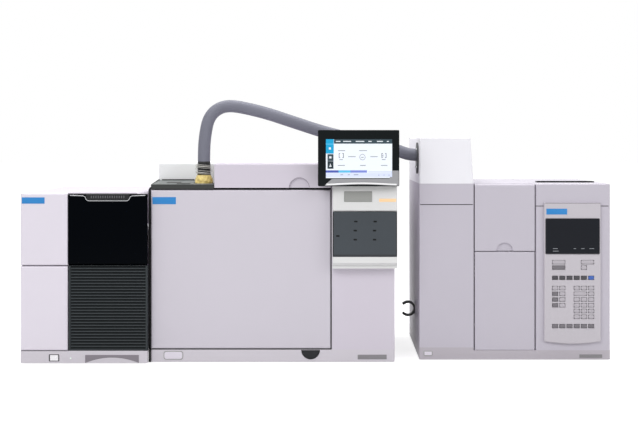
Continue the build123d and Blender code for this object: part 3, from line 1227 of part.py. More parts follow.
with BuildPart() as hs_console:
    with BuildSketch(front(console_front)):
        with BuildLine():
            Polyline(
                (console_x[0], CONSOLE_LOW), (console_x[0], CONSOLE_HIGH),
                (console_x[1], CONSOLE_HIGH), (console_x[1], CONSOLE_LOW),
            )
            ThreePointArc(
                (console_x[1], CONSOLE_LOW), (mid(*console_x), CONSOLE_LOW - CONSOLE_SAG),
                (console_x[0], CONSOLE_LOW),
            )
        make_face()
    extrude(amount=-CONSOLE_PROUD)
    fillet(hs_console.edges().group_by(Axis.Y)[0], CONSOLE_EDGE)
    bar(
        front(console_front), display_x, display_z, -DISPLAY_THICKNESS, corner=DISPLAY_CORNER,
        mode=Mode.SUBTRACT,
    )
    keys(front(console_front), menu_keys + number_keys + command_keys, FIT, -CONSOLE_PROUD, Mode.SUBTRACT)
save(hs_console, "hs_console")

with BuildPart() as hs_display:
    bar(front(console_front), display_x, display_z, -DISPLAY_THICKNESS, corner=DISPLAY_CORNER)
save(hs_display, "hs_display")

with BuildPart() as hs_menu_keys:
    keys(front(console_front - KEY_PROUD), menu_keys, 0, -KEY_DEPTH)
save(hs_menu_keys, "hs_menu_keys")

with BuildPart() as hs_number_keys:
    keys(front(console_front - KEY_PROUD), number_keys, 0, -KEY_DEPTH)
save(hs_number_keys, "hs_number_keys")

with BuildPart() as hs_command_keys:
    keys(front(console_front - KEY_PROUD), command_keys, 0, -KEY_DEPTH)
save(hs_command_keys, "hs_command_keys")

clip_centre = (hs_left - CLIP_RADIUS - CLIP_STAND, CLIP_LEVEL)

with BuildPart() as hs_line_clip:
    with BuildSketch(front(hs_front + CLIP_SET_BACK)):
        with Locations(clip_centre):
            Circle(CLIP_RADIUS)
            Circle(CLIP_RADIUS - CLIP_WALL, mode=Mode.SUBTRACT)
            with Locations((-CLIP_RADIUS, 0)):
                Rectangle(CLIP_RADIUS, 2 * CLIP_GAP, mode=Mode.SUBTRACT)
            for turn in (CLIP_LIP_TURN, -CLIP_LIP_TURN):
                with PolarLocations(CLIP_RADIUS - CLIP_WALL / 2, 1, turn):
                    Circle(CLIP_LIP)
        with Locations((hs_left, CLIP_LEVEL)):
            Rectangle(CLIP_WALL, CLIP_FOOT, align=(Align.MAX, Align.CENTER))
    extrude(amount=-CLIP_LENGTH)
save(hs_line_clip, "hs_line_clip")

with BuildPart() as hs_rear_panel:
    bar(front(rear), (hs_left, hs_right), (HS_LEFT_BASE, HS_HEIGHT), SHEET)
    polygon(front(rear), tower_outline, SHEET)
    with BuildSketch(front(rear)):
        with Locations((mid(hs_left, hs_right), mid(HS_LEFT_BASE, HS_HEIGHT))):
            with GridLocations(HS_VENT_SPREAD, VENT_PITCH, 2, HS_VENT_SLOTS):
                SlotOverall(HS_VENT_WIDTH, VENT_SLOT)
    extrude(amount=SHEET, mode=Mode.SUBTRACT)
save(hs_rear_panel, "hs_rear_panel")

# ---------------------------------------------------------------- feet
foot_places = [
    (x, y)
    for left, right, near in (
        (ms_left, ms_body, ms_front), (gc_left, gc_right, gc_front), (hs_left, hs_right, hs_front)
    )
    for x in inward((left, right), FOOT_INSET)
    for y in inward((near, gc_rear), FOOT_INSET)
]

with BuildPart() as rubber_feet:
    with BuildSketch(level(0)):
        with Locations(*foot_places):
            Circle(FOOT_RADIUS)
    extrude(amount=FOOT_HEIGHT)
save(rubber_feet, "rubber_feet")
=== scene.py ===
"""Looks of the chromatography bench set: finishes, trims, screen, keys, hose and the studio round them.

Lengths are in metres in the set's own frame: X to the right, Y to the back, Z up, user at -Y.
"""
import math

import bpy
import numpy as np
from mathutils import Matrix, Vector


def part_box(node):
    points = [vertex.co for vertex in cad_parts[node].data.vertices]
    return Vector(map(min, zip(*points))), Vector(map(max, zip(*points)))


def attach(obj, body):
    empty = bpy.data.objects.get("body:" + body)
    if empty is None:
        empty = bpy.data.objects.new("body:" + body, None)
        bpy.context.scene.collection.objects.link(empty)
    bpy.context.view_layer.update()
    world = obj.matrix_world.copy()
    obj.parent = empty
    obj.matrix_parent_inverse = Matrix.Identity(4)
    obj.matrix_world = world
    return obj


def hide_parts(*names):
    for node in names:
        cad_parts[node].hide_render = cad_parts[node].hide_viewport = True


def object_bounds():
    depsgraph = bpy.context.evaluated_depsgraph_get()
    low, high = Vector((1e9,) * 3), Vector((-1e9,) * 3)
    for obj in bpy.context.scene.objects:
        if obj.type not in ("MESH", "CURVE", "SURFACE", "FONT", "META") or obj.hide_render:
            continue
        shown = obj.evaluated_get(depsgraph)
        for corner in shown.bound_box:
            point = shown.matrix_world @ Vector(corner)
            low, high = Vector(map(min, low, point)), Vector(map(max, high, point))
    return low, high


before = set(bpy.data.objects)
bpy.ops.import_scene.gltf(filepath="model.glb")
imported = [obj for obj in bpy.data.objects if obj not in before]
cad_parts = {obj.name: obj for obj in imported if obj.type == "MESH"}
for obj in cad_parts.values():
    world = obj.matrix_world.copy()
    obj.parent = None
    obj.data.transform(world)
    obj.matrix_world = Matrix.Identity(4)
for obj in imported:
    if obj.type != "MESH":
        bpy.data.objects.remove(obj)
cad_low, cad_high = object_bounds()

MM = 0.001
PROUD = 0.4 * MM
FINE = 0.2 * MM
SMALLEST = 1e-6
GRAIN_DEPTH = 0.4 * MM
SHARP_EDGE = math.radians(40)


# ---------------------------------------------------------------- camera
IMAGE_WIDTH, IMAGE_HEIGHT = 638, 425
EYE_COLUMN, HORIZON_ROW = 335.0, 146.0
FOCAL_PIXELS = 1471.0
EYE = (0.041, -3.735, 0.5155)

camera_data = bpy.data.cameras.new("studio_camera")
camera_data.sensor_width = 36.0
camera_data.lens = FOCAL_PIXELS / IMAGE_WIDTH * camera_data.sensor_width
camera_data.shift_x = (IMAGE_WIDTH / 2 - EYE_COLUMN) / IMAGE_WIDTH
camera_data.shift_y = (HORIZON_ROW - IMAGE_HEIGHT / 2) / IMAGE_WIDTH
camera = bpy.data.objects.new("studio_camera", camera_data)
camera.location = EYE
camera.rotation_euler = (math.pi / 2, 0, 0)
bpy.context.collection.objects.link(camera)
bpy.context.scene.camera = camera


# ---------------------------------------------------------------- colours and shader groups
def linear(red, green, blue):
    """The linear colour for an sRGB one given from 0 to 255: the standard two-part curve."""
    value = np.array([red, green, blue]) / 255
    return (*np.where(value <= 0.04045, value / 12.92, ((value + 0.055) / 1.055) ** 2.4).tolist(), 1.0)


def new_group(name, inputs, outputs):
    """An empty shader group with its named sockets; returns the tree and its two end nodes."""
    tree = bpy.data.node_groups.new(name, "ShaderNodeTree")
    for label, kind, value in inputs:
        socket = tree.interface.new_socket(label, in_out="INPUT", socket_type=kind)
        if value is not None:
            socket.default_value = value
    for label, kind in outputs:
        tree.interface.new_socket(label, in_out="OUTPUT", socket_type=kind)
    return tree, tree.nodes.new("NodeGroupInput"), tree.nodes.new("NodeGroupOutput")


def add(tree, kind, **settings):
    node = tree.nodes.new(kind)
    for key, value in settings.items():
        setattr(node, key, value)
    return node


def set_inputs(node, values):
    for name, value in values.items():
        node.inputs[name].default_value = value


SKIN_INPUTS = [
    ("Colour", "NodeSocketColor", (0.8, 0.8, 0.8, 1)),
    ("Mottle", "NodeSocketFloat", 0.04),
    ("Patch Scale", "NodeSocketFloat", 6.0),
    ("Grain Scale", "NodeSocketFloat", 900.0),
    ("Grain Height", "NodeSocketFloat", 0.15),
    ("Roughness", "NodeSocketFloat", 0.45),
    ("Roughness Spread", "NodeSocketFloat", 0.08),
]
SKIN_OUTPUTS = [
    ("Colour", "NodeSocketColor"), ("Roughness", "NodeSocketFloat"), ("Normal", "NodeSocketVector")
]


def skin_group(name, stretch):
    """Mottled colour, uneven gloss and a fine grain, on object coordinates stretched along the axes."""
    tree, given, made = new_group(name, SKIN_INPUTS, SKIN_OUTPUTS)
    link = tree.links.new
    place = add(tree, "ShaderNodeTexCoord")
    turn = add(tree, "ShaderNodeMapping")
    turn.inputs["Scale"].default_value = stretch
    patches = add(tree, "ShaderNodeTexNoise")
    patches.inputs["Detail"].default_value = 3
    grain = add(tree, "ShaderNodeTexNoise")
    grain.inputs["Detail"].default_value = 2
    link(place.outputs["Object"], turn.inputs["Vector"])
    link(place.outputs["Object"], patches.inputs["Vector"])
    link(turn.outputs["Vector"], grain.inputs["Vector"])
    link(given.outputs["Patch Scale"], patches.inputs["Scale"])
    link(given.outputs["Grain Scale"], grain.inputs["Scale"])
    centred = add(tree, "ShaderNodeMath", operation="SUBTRACT")
    centred.inputs[1].default_value = 0.5
    link(patches.outputs["Fac"], centred.inputs[0])
    shade = add(tree, "ShaderNodeMath", operation="MULTIPLY_ADD")
    shade.inputs[2].default_value = 1.0
    link(centred.outputs[0], shade.inputs[0])
    link(given.outputs["Mottle"], shade.inputs[1])
    tint = add(tree, "ShaderNodeVectorMath", operation="SCALE")
    link(given.outputs["Colour"], tint.inputs[0])
    link(shade.outputs[0], tint.inputs["Scale"])
    link(tint.outputs[0], made.inputs["Colour"])
    gloss = add(tree, "ShaderNodeMath", operation="MULTIPLY_ADD")
    link(centred.outputs[0], gloss.inputs[0])
    link(given.outputs["Roughness Spread"], gloss.inputs[1])
    link(given.outputs["Roughness"], gloss.inputs[2])
    link(gloss.outputs[0], made.inputs["Roughness"])
    bump = add(tree, "ShaderNodeBump")
    bump.inputs["Distance"].default_value = GRAIN_DEPTH
    link(given.outputs["Grain Height"], bump.inputs["Strength"])
    link(grain.outputs["Fac"], bump.inputs["Height"])
    link(bump.outputs["Normal"], made.inputs["Normal"])
    return tree


paint_skin = skin_group("powder_coat_skin", (1, 1, 1))
brushed_skin = skin_group("brushed_metal_skin", (1, 25, 25))
wrapped_skin = skin_group("wrapped_hose_skin", (6, 1, 1))


def finish(
    name, colour, group=paint_skin, roughness=0.45, spread=0.08, mottle=0.03, patches=6.0, grain=900.0,
    height=0.12, metallic=0.0, specular=0.5, coat=0.0, glow=None, glow_strength=0.0, clear=0.0,
):
    """A material: one of the skin groups feeding the Principled shader."""
    material = bpy.data.materials.new(name)
    material.use_nodes = True
    tree = material.node_tree
    shader = tree.nodes["Principled BSDF"]
    skin = add(tree, "ShaderNodeGroup", node_tree=group)
    set_inputs(skin, {
        "Colour": linear(*colour), "Mottle": mottle, "Patch Scale": patches, "Grain Scale": grain,
        "Grain Height": height, "Roughness": roughness, "Roughness Spread": spread,
    })
    for given, taken in [("Colour", "Base Color"), ("Roughness", "Roughness"), ("Normal", "Normal")]:
        tree.links.new(skin.outputs[given], shader.inputs[taken])
    set_inputs(shader, {
        "Metallic": metallic, "Specular IOR Level": specular, "Coat Weight": coat,
        "Transmission Weight": clear,
    })
    if glow:
        set_inputs(shader, {"Emission Color": linear(*glow), "Emission Strength": glow_strength})
    return material


cover_paint = finish("cover_paint", (210, 203, 215))
door_paint = finish("door_paint", (207, 202, 212))
sampler_paint = finish("sampler_paint", (194, 189, 200))
base_paint = finish("base_paint", (210, 205, 213))
sampler_base_paint = finish("sampler_base_paint", (184, 178, 186))
panel_plastic = finish("panel_plastic", (226, 220, 231), roughness=0.4, grain=1400, height=0.08)
module_plastic = finish("module_plastic", (226, 226, 226), roughness=0.4, grain=1400, height=0.08)
console_plastic = finish("console_plastic", (195, 190, 197), roughness=0.5, grain=1400, height=0.08)
tower_paint = finish("tower_paint", (240, 239, 245))
# a lighter copy of the white cover paint for the chromatograph's rear top cover: painted light
rear_cover_painted_light = finish("rear_cover_painted_light", (252, 253, 254))
rear_paint = finish("rear_paint", (168, 168, 174), roughness=0.5)
window_black = finish("window_black", (2, 4, 8), roughness=0.08, spread=0.04, height=0.01, specular=0.02)
latch_black = finish("latch_black", (14, 16, 20), roughness=0.35, grain=1500, height=0.15, specular=0.3)
louvre_black = finish("louvre_black", (47, 52, 55), roughness=0.42, grain=1500, height=0.15, specular=0.2)
bezel_black = finish("bezel_black", (15, 19, 21), roughness=0.3, height=0.05, specular=0.15)
glass_black = finish("glass_black", (15, 20, 22), roughness=0.12, height=0.01, specular=0.1)
display_black = finish("display_black", (29, 31, 37), roughness=0.16, height=0.01, specular=0.1)
smoked_grey = finish(
    "smoked_grey", (64, 70, 76), roughness=0.18, spread=0.05, height=0.03, mottle=0.12, specular=0.35
)
tray_grey = finish("tray_grey", (31, 34, 33), roughness=0.55, grain=1500, height=0.3)
plate_grey = finish("plate_grey", (92, 97, 96), roughness=0.5, grain=1500, height=0.2)
galvanised = finish("galvanised", (176, 178, 180), roughness=0.4, mottle=0.25, patches=60, metallic=0.9)
oven_steel = finish("oven_steel", (186, 182, 174), brushed_skin, roughness=0.32, metallic=1.0, grain=60)
wool_cream = finish(
    "wool_cream", (222, 216, 200), roughness=0.9, mottle=0.15, patches=40, height=0.6, grain=500
)
heater_dark = finish("heater_dark", (96, 84, 76), roughness=0.45, metallic=0.8)
motor_black = finish("motor_black", (34, 34, 37), roughness=0.45)
silica_brown = finish("silica_brown", (120, 66, 26), roughness=0.25, coat=0.5, mottle=0.2, patches=90)
bright_steel = finish("bright_steel", (196, 197, 199), brushed_skin, roughness=0.22, metallic=1.0, grain=80)
cast_metal = finish("cast_metal", (180, 180, 182), roughness=0.5, metallic=0.8, height=0.4, grain=600)
boot_yellow = finish(
    "boot_yellow", (238, 213, 130), roughness=0.4, mottle=0.35, patches=55, height=0.4, grain=300, coat=0.2
)
sleeve_black = finish("sleeve_black", (22, 22, 24), roughness=0.6, height=0.3)
hose_grey = finish(
    "hose_grey", (113, 114, 127), wrapped_skin, roughness=0.55, mottle=0.18, patches=14, height=0.35,
    grain=500,
)
flange_black = finish("flange_black", (58, 58, 62), roughness=0.5)
clip_black = finish("clip_black", (44, 44, 46), roughness=0.45)
key_pale = finish("key_pale", (180, 175, 182), roughness=0.5, grain=2000, height=0.1)
key_grey = finish("key_grey", (112, 108, 114), roughness=0.5, grain=2000, height=0.1)
key_dark = finish("key_dark", (62, 60, 66), roughness=0.5, grain=2000, height=0.1)
key_blue = finish("key_blue", (62, 98, 176), roughness=0.45, grain=2000, height=0.1)
carousel_black = finish("carousel_black", (48, 48, 52), roughness=0.5)
vial_glass = finish("vial_glass", (236, 242, 242), roughness=0.05, height=0.0, mottle=0.0, clear=0.9)
foot_rubber = finish("foot_rubber", (22, 22, 22), roughness=0.8)
label_blue = finish("label_blue", (32, 130, 200), roughness=0.35, mottle=0.12, patches=18, height=0.02)
label_plate = finish("label_plate", (132, 130, 133), roughness=0.45, mottle=0.3, patches=420)
lip_silver = finish("lip_silver", (150, 150, 153), brushed_skin, roughness=0.36, metallic=0.6, grain=70)
trim_silver = finish(
    "trim_silver", (196, 197, 200), brushed_skin, roughness=0.28, metallic=0.75, grain=70, specular=0.6
)
# darker grey: painted shade, on the crescent over the arch and along the lid's finger notch
painted_recess_shade = finish("painted_recess_shade", (132, 126, 134), roughness=0.5)
rocker_white = finish("rocker_white", (250, 248, 252), roughness=0.4, height=0.05)
wire_pale = finish("wire_pale", (208, 206, 200), roughness=0.4, height=0.05)
# near-white: a painted highlight along the screen's silver lip
lip_painted_highlight = finish("lip_painted_highlight", (246, 246, 247), roughness=0.3, height=0.02)
rib_grey = finish("rib_grey", (84, 86, 88), roughness=0.4, grain=1500)
shade_black = finish("shade_black", (7, 9, 11), roughness=0.8, height=0.0, specular=0.1)
# near-black for dark trims, and painted shade in the seams and gaps round the bases, the oven door and the
# sampler's covers
trim_and_shade_black = finish("trim_and_shade_black", (20, 19, 23), roughness=0.75)
recess_grey = finish("recess_grey", (154, 155, 152), roughness=0.5)
amber_lamp = finish("amber_lamp", (246, 212, 166), glow=(255, 190, 130), glow_strength=0.12)
green_lamp = finish("green_lamp", (222, 236, 226), glow=(222, 240, 228), glow_strength=0.2)
ink_grey = finish("ink_grey", (150, 154, 160), roughness=0.6)
SCREEN_GLOW = 0.12
screen_colours = {
    "pale": (236, 242, 250), "cyan": (28, 160, 208), "sky": (96, 190, 232), "slate": (56, 72, 80),
    "deep": (36, 50, 56), "violet": (126, 140, 214), "indigo": (78, 92, 176), "wash": (214, 222, 246),
    "line": (84, 92, 104), "white": (226, 232, 238), "mist": (96, 190, 232),
}
screen_paint = {
    name: finish(
        "picture_" + name, colour, roughness=0.4, height=0.0, mottle=0.02, specular=0.2, glow=colour,
        glow_strength=SCREEN_GLOW,
    )
    for name, colour in screen_colours.items()
}

node_finishes = {
    cover_paint: "ms_wrap_cover gc_column_cover gc_detector_lid gc_chassis",
    sampler_paint: "hs_left_cover hs_vial_bay hs_right_cover hs_tray_flap hs_lower_panel",
    sampler_base_paint: "hs_base_tray",
    door_paint: "oven_door_panel",
    base_paint: "ms_base_tray gc_base_tray",
    panel_plastic: "ms_upper_panel ms_lower_panel gc_power_button hs_power_button",
    rocker_white: "ms_power_rocker",
    module_plastic: "gc_front_module",
    console_plastic: "hs_console",
    tower_paint: "hs_tower",
    rear_cover_painted_light: "gc_rear_top_cover",
    rear_paint: "ms_rear_panel gc_rear_panel hs_rear_panel",
    window_black: "ms_window_cover",
    latch_black: "ms_latch_button oven_door_latch ms_vent_knob",
    louvre_black: "ms_louvre_panel",
    bezel_black: "screen_housing",
    display_black: "hs_display",
    smoked_grey: "gc_smoked_hatch",
    tray_grey: "gc_inlet_tray",
    galvanised: "oven_vent_flap",
    oven_steel: "oven_liner oven_fan oven_door_plug",
    wool_cream: "oven_insulation",
    heater_dark: "oven_heater",
    motor_black: "oven_fan_motor",
    silica_brown: "capillary_column",
    bright_steel: "gc_inlet_port ms_interface_tube ms_quadrupole",
    cast_metal: "ms_vacuum_manifold ms_turbo_rotor ms_turbo_pump",
    flange_black: "line_flange",
    clip_black: "hs_line_clip",
    carousel_black: "hs_carousel",
    vial_glass: "hs_vials",
    foot_rubber: "rubber_feet",
}
for material, names in node_finishes.items():
    for name in names.split():
        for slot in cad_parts[name].material_slots:
            slot.material = material


# ---------------------------------------------------------------- surfaces of two parameters
def ring_faces(rings, around, wrap=False):
    """Quads joining a stack of closed rings: the first to the last too if wrap, or else with end caps."""
    steps = np.arange(rings if wrap else rings - 1)[:, None]
    here, there = steps * around, (steps + 1) % rings * around
    point = np.arange(around)[None, :]
    after = (point + 1) % around
    quads = np.stack([here + point, here + after, there + after, there + point], axis=-1)
    faces = quads.reshape(-1, 4).tolist()
    if not wrap:
        faces.append(list(range(around))[::-1])
        faces.append(list(range((rings - 1) * around, rings * around)))
    return faces


def closed_shape(grid, wrap=False):
    """A shape, as (points, faces), from a grid of rings."""
    rings, around = grid.shape[:2]
    return grid.reshape(-1, 3), ring_faces(rings, around, wrap)


def arc(centre, radius, angle):
    """Points (across, up) on a circle, at the given angles."""
    return np.stack([centre[0] + radius * np.cos(angle), centre[1] + radius * np.sin(angle)], axis=-1)


def round_loop(width, height, radius, steps=6):
    """A rounded rectangle about zero: a quarter circle at each corner, joined by straight sides."""
    radius = max(min(radius, width / 2 - SMALLEST, height / 2 - SMALLEST), SMALLEST)
    turn = np.linspace(0, np.pi / 2, steps)
    quarters = []
    for quarter, (across, up) in enumerate([(1, 1), (-1, 1), (-1, -1), (1, -1)]):
        centre = (across * (width / 2 - radius), up * (height / 2 - radius))
        quarters.append(arc(centre, radius, turn + quarter * np.pi / 2))
    return np.concatenate(quarters)


def placed(flat, depth, facing):
    """Points (a, b) at a depth, as X, Y and Z for a face that looks to the front or to the top."""
    depth = np.broadcast_to(depth, flat.shape[:-1])
    mixed = {"a": flat[..., 0], "b": flat[..., 1], "d": depth}
    order = {"front": "adb", "top": "abd"}[facing]
    return np.stack([mixed[letter] for letter in order], axis=-1)


def slab(a, b, depth, corner=1 * MM, edge=0.5 * MM, facing="front", steps=4):
    """A plate over the spans a and b, from depth[0], its face, to depth[1]: its outline shrinks along
    a quarter circle of radius edge as it nears the face."""
    turn = np.linspace(0, np.pi / 2, steps)
    inset = np.concatenate([[0], edge * (1 - np.cos(turn))])
    toward = np.sign(depth[1] - depth[0])
    level = np.concatenate([[depth[1]], depth[0] + toward * edge * (1 - np.sin(turn))])
    centre = np.array([sum(a) / 2, sum(b) / 2])
    rings = [
        placed(round_loop(a[1] - a[0] - 2 * i, b[1] - b[0] - 2 * i, corner - i) + centre, d, facing)
        for i, d in zip(inset, level)
    ]
    return closed_shape(np.stack(rings))


def turned(profile, centre, axis, steps=40):
    """A profile of (radius, distance along the axis) turned about the axis through centre."""
    axis = np.array(axis, float)
    any_direction = (0.3, 0.5, 0.8)
    start = np.cross(axis, any_direction)
    start /= np.linalg.norm(start)
    across = np.cross(axis, start)
    angle = np.linspace(0, 2 * np.pi, steps, endpoint=False)[None, :, None]
    radius = np.array([r for r, _ in profile])[:, None, None]
    along = np.array([h for _, h in profile])[:, None, None]
    grid = np.array(centre) + along * axis + radius * (np.cos(angle) * start + np.sin(angle) * across)
    return closed_shape(grid)


def carried(path, profile, closed=False, up=(0, -1, 0)):
    """A closed profile of (side, up) pairs carried along a path: each ring stands square to it."""
    path = np.array(path, float)
    if closed:
        along = np.roll(path, -1, axis=0) - np.roll(path, 1, axis=0)
    else:
        along = np.gradient(path, axis=0)
    along /= np.linalg.norm(along, axis=1, keepdims=True)
    up = np.array(up, float)
    side = np.cross(along, up)
    side /= np.linalg.norm(side, axis=1, keepdims=True)
    upright = np.cross(side, along)
    shape = np.array(profile)
    grid = path[:, None] + shape[None, :, :1] * side[:, None] + shape[None, :, 1:] * upright[:, None]
    return closed_shape(grid, wrap=closed)


def round_profile(radius, steps=10):
    return arc((0, 0), radius, np.linspace(0, 2 * np.pi, steps, endpoint=False))


def bar_profile(half, back, front_half=None, out=None):
    """Four corners: half the width and the reach behind, then the same in front unless given."""
    if front_half is None:
        front_half, out = half, back
    return [(-half, -back), (half, -back), (front_half, out), (-front_half, out)]


def together(shapes):
    """Several shapes as one."""
    points, faces, start = [], [], 0
    for shape_points, shape_faces in shapes:
        points.append(shape_points)
        faces += [[start + corner for corner in face] for face in shape_faces]
        start += len(shape_points)
    return np.concatenate(points), faces


def outward(points, faces):
    """Faces in the order that points them outwards: a closed shape's signed volume is above zero."""
    volume = 0.0
    for face in faces:
        corners = points[face]
        fan = np.cross(corners[1:-1], corners[2:])
        volume += (corners[0] * fan).sum()
    return faces if volume > 0 else [face[::-1] for face in faces]


def make(name, shapes, body, material, replaces=(), smooth=True):
    """A piece of one or more closed shapes, riding on a body and taking a slot's finish."""
    if isinstance(shapes, tuple):
        shapes = [shapes]
    points, faces = together([(p, outward(p, f)) for p, f in shapes])
    mesh = bpy.data.meshes.new(name)
    mesh.from_pydata(points.tolist(), [], faces)
    mesh.update()
    if smooth:
        mesh.polygons.foreach_set("use_smooth", np.ones(len(faces), bool))
        mesh.set_sharp_from_angle(angle=SHARP_EDGE)
    mesh.materials.append(material)
    piece = bpy.data.objects.new(name, mesh)
    bpy.context.collection.objects.link(piece)
    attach(piece, body)
    if replaces:
        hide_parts(*replaces)


def box(node):
    """A node's spans along X, Y and Z."""
    low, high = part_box(node)
    return [(low[i], high[i]) for i in range(3)]


def from_low(span, start, length):
    return (span[0] + start, span[0] + start + length)


def grow(span, amount):
    return (span[0] - amount, span[1] + amount)


def about(place, half):
    return (place - half, place + half)


def middle(span):
    return sum(span) / 2


def standing(face, out, back):
    """The depths of a plate that stands out of a face and reaches back behind it."""
    return (face - out, face + back)


def frame_round(a, b, depth, width, corner, facing="front", rise=0.6 * MM):
    """A flat bar carried round a rounded rectangle that lies over the spans a and b."""
    loop = round_loop(a[1] - a[0] + width, b[1] - b[0] + width, corner) + np.array([middle(a), middle(b)])
    up = {"front": (0, -1, 0), "top": (0, 0, 1)}[facing]
    return carried(placed(loop, depth, facing), bar_profile(width / 2, rise), closed=True, up=up)


def sheared(shape, slope, start, moved=1, by=2):
    """Leans a shape, backwards as it rises unless axes are given: each point moves along the first of
    them by the slope times its distance from the start along the second."""
    points, faces = shape
    points = points.copy()
    points[:, moved] += slope * (points[:, by] - start)
    return points, faces


def label(name, x, z, face, body, slot, material):
    make(name, slab(x, z, about(face, PROUD), 0.6 * MM, 0.2 * MM), body, material)


# a dark piece, used for real trims and for sheets of painted shade in seams and gaps
def dark_trim_and_shade(name, shapes, body="frame", material=trim_and_shade_black, replaces=()):
    make(name, shapes, body, material, replaces=replaces)


# ---------------------------------------------------------------- labels, small base trims and painted shade over the arch and in the base's gaps
ms_panel_x, ms_panel_y = box("ms_upper_panel")[:2]
door_x, door_y, door_z = box("oven_door_panel")
console_x, console_y, console_z = box("hs_console")
blue_labels = [
    ("ms_blue_label", from_low(ms_panel_x, 3 * MM, 54 * MM), (379 * MM, 394 * MM), ms_panel_y[0], "frame"),
    ("gc_blue_label", from_low(door_x, 3.5 * MM, 56 * MM), (377 * MM, 394 * MM), door_y[0], "oven_door"),
    ("hs_blue_label", from_low(console_x, 5 * MM, 50 * MM), (351 * MM, 365 * MM), console_y[0], "frame"),
]
for name, x, z, face, body in blue_labels:
    label(name, x, z, face, body, "label_blue", label_blue)

rocker_x, _, rocker_z = box("ms_power_rocker")
base_x, base_y, base_z = box("ms_base_tray")
ROCKER_GAP, ROCKER_BAR, ROCKER_CORNER = 0.2 * MM, 1.4 * MM, 0.8 * MM
rocker_hole = [grow(span, ROCKER_GAP) for span in (rocker_x, rocker_z)]
dark_trim_and_shade("ms_rocker_frame", frame_round(*rocker_hole, base_y[0], ROCKER_BAR, ROCKER_CORNER))
LAMP_X, LAMP_Z = (-586.2 * MM, -582.8 * MM), (11.5 * MM, 15 * MM)
lamp = slab(LAMP_X, LAMP_Z, standing(base_y[0], 0.5 * MM, 0), 1.6 * MM, 0.4 * MM)
make("ms_power_lamp", lamp, "frame", green_lamp)
ARCH_X = from_low(base_x, 153 * MM, 127 * MM)
ARCH_TOP, ARCH_APEX, ARCH_FOOT, ARCH_SKIN = 21.2 * MM, 15 * MM, 2.2 * MM, 0.3 * MM


def arch_shade(count=33):
    """Painted shade of the recess over the arch: a thin dark crescent on the base's face, flat above,
    while its lower edge falls from the apex to the foot with the square of the share of the half width."""
    share = np.linspace(-1, 1, count)
    x = middle(ARCH_X) + share * (ARCH_X[1] - ARCH_X[0]) / 2
    low = ARCH_APEX - (ARCH_APEX - ARCH_FOOT) * share ** 2
    top = np.full(count, ARCH_TOP)
    front, back = [np.full(count, depth) for depth in about(base_y[0], ARCH_SKIN)]
    corners = [(x, front, top), (x, back, top), (x, back, low), (x, front, low)]
    return closed_shape(np.stack([np.stack(corner, axis=-1) for corner in corners], axis=1))


make("ms_arch_painted_shade", arch_shade(), "frame", painted_recess_shade)
# a black strip along the gap between the mass detector's lower panels and its base: painted shadow
PANEL_SHADOW_LINE = 1.1 * MM
dark_trim_and_shade("ms_panel_painted_shadow_line", slab(
    (base_x[0] + 1 * MM, ms_panel_x[1]), about(base_z[1], PANEL_SHADOW_LINE / 2),
    standing(base_y[0], 0.25 * MM, 0.2 * MM), FINE, FINE / 2,
))
gc_base_x, gc_base_y = box("gc_base_tray")[:2]
hs_base_x, hs_base_y = box("hs_base_tray")[:2]
# a black sheet between the mass detector's and the chromatograph's bases: painted shade in the gap
dark_trim_and_shade("unit_gap_painted_shade", slab(
    (base_x[1] + FINE, gc_base_x[0] - FINE), (1 * MM, base_z[1] - 0.5 * MM),
    from_low(gc_base_y, 2 * MM, 3 * MM), 0.4 * MM, FINE,
))
rating_plates = [
    ("gc_rating_plate", (95 * MM, 164 * MM), (8 * MM, 19 * MM), gc_base_y[0]),
    ("hs_rating_plate", (629 * MM, 684 * MM), (5.5 * MM, 14 * MM), hs_base_y[0]),
]
for name, x, z, face in rating_plates:
    label(name, x, z, face, "frame", "label_grey", label_plate)
for name, corner in {"gc_power_button": 5 * MM, "hs_power_button": 2 * MM}.items():
    x, y, z = box(name)
    rim = frame_round(x, z, y[0] + 1 * MM, 1.6 * MM, corner)
    make(name + "_rim", rim, "frame", recess_grey)

# ---------------------------------------------------------------- mass detector window
window_x, window_y = box("ms_window_cover")[:2]
latch_x, latch_y, latch_z = box("ms_latch_button")
TRIM_INSET, TRIM_TOP = 4 * MM, 398.5 * MM
# the trim's dip under the latch: how far inwards from the latch's end, and how high, it turns
TRIM_DIP = [(-6 * MM, 397.5 * MM), (-1 * MM, 395.5 * MM), (2 * MM, 388.5 * MM), (6 * MM, 385.8 * MM)]
trim_points = np.array([
    (window_x[0] + TRIM_INSET, TRIM_TOP),
    *[(latch_x[0] + inwards, height) for inwards, height in TRIM_DIP],
    *[(latch_x[1] - inwards, height) for inwards, height in reversed(TRIM_DIP)],
    (window_x[1] - TRIM_INSET, TRIM_TOP),
])
trim_path = placed(trim_points, window_y[0] - 0.1 * MM, "front")
trim = carried(trim_path, bar_profile(1.0 * MM, 0.3 * MM, 0.6 * MM, 0.5 * MM))
make("ms_window_trim", trim, "window_cover", trim_silver)
RIB_COUNT, RIB_INSET, RIB_HALF = 15, 14 * MM, 1.2 * MM
rib_z, rib_y = (latch_z[0] + 5 * MM, latch_z[1] - 4 * MM), standing(latch_y[0], 0.6 * MM, 0.3 * MM)
ribs = [
    slab(about(x, RIB_HALF), rib_z, rib_y, 1 * MM, 0.5 * MM)
    for x in np.linspace(latch_x[0] + RIB_INSET, latch_x[1] - RIB_INSET, RIB_COUNT)
]
dark_trim_and_shade("ms_latch_ribs", ribs, "window_latch", rib_grey)

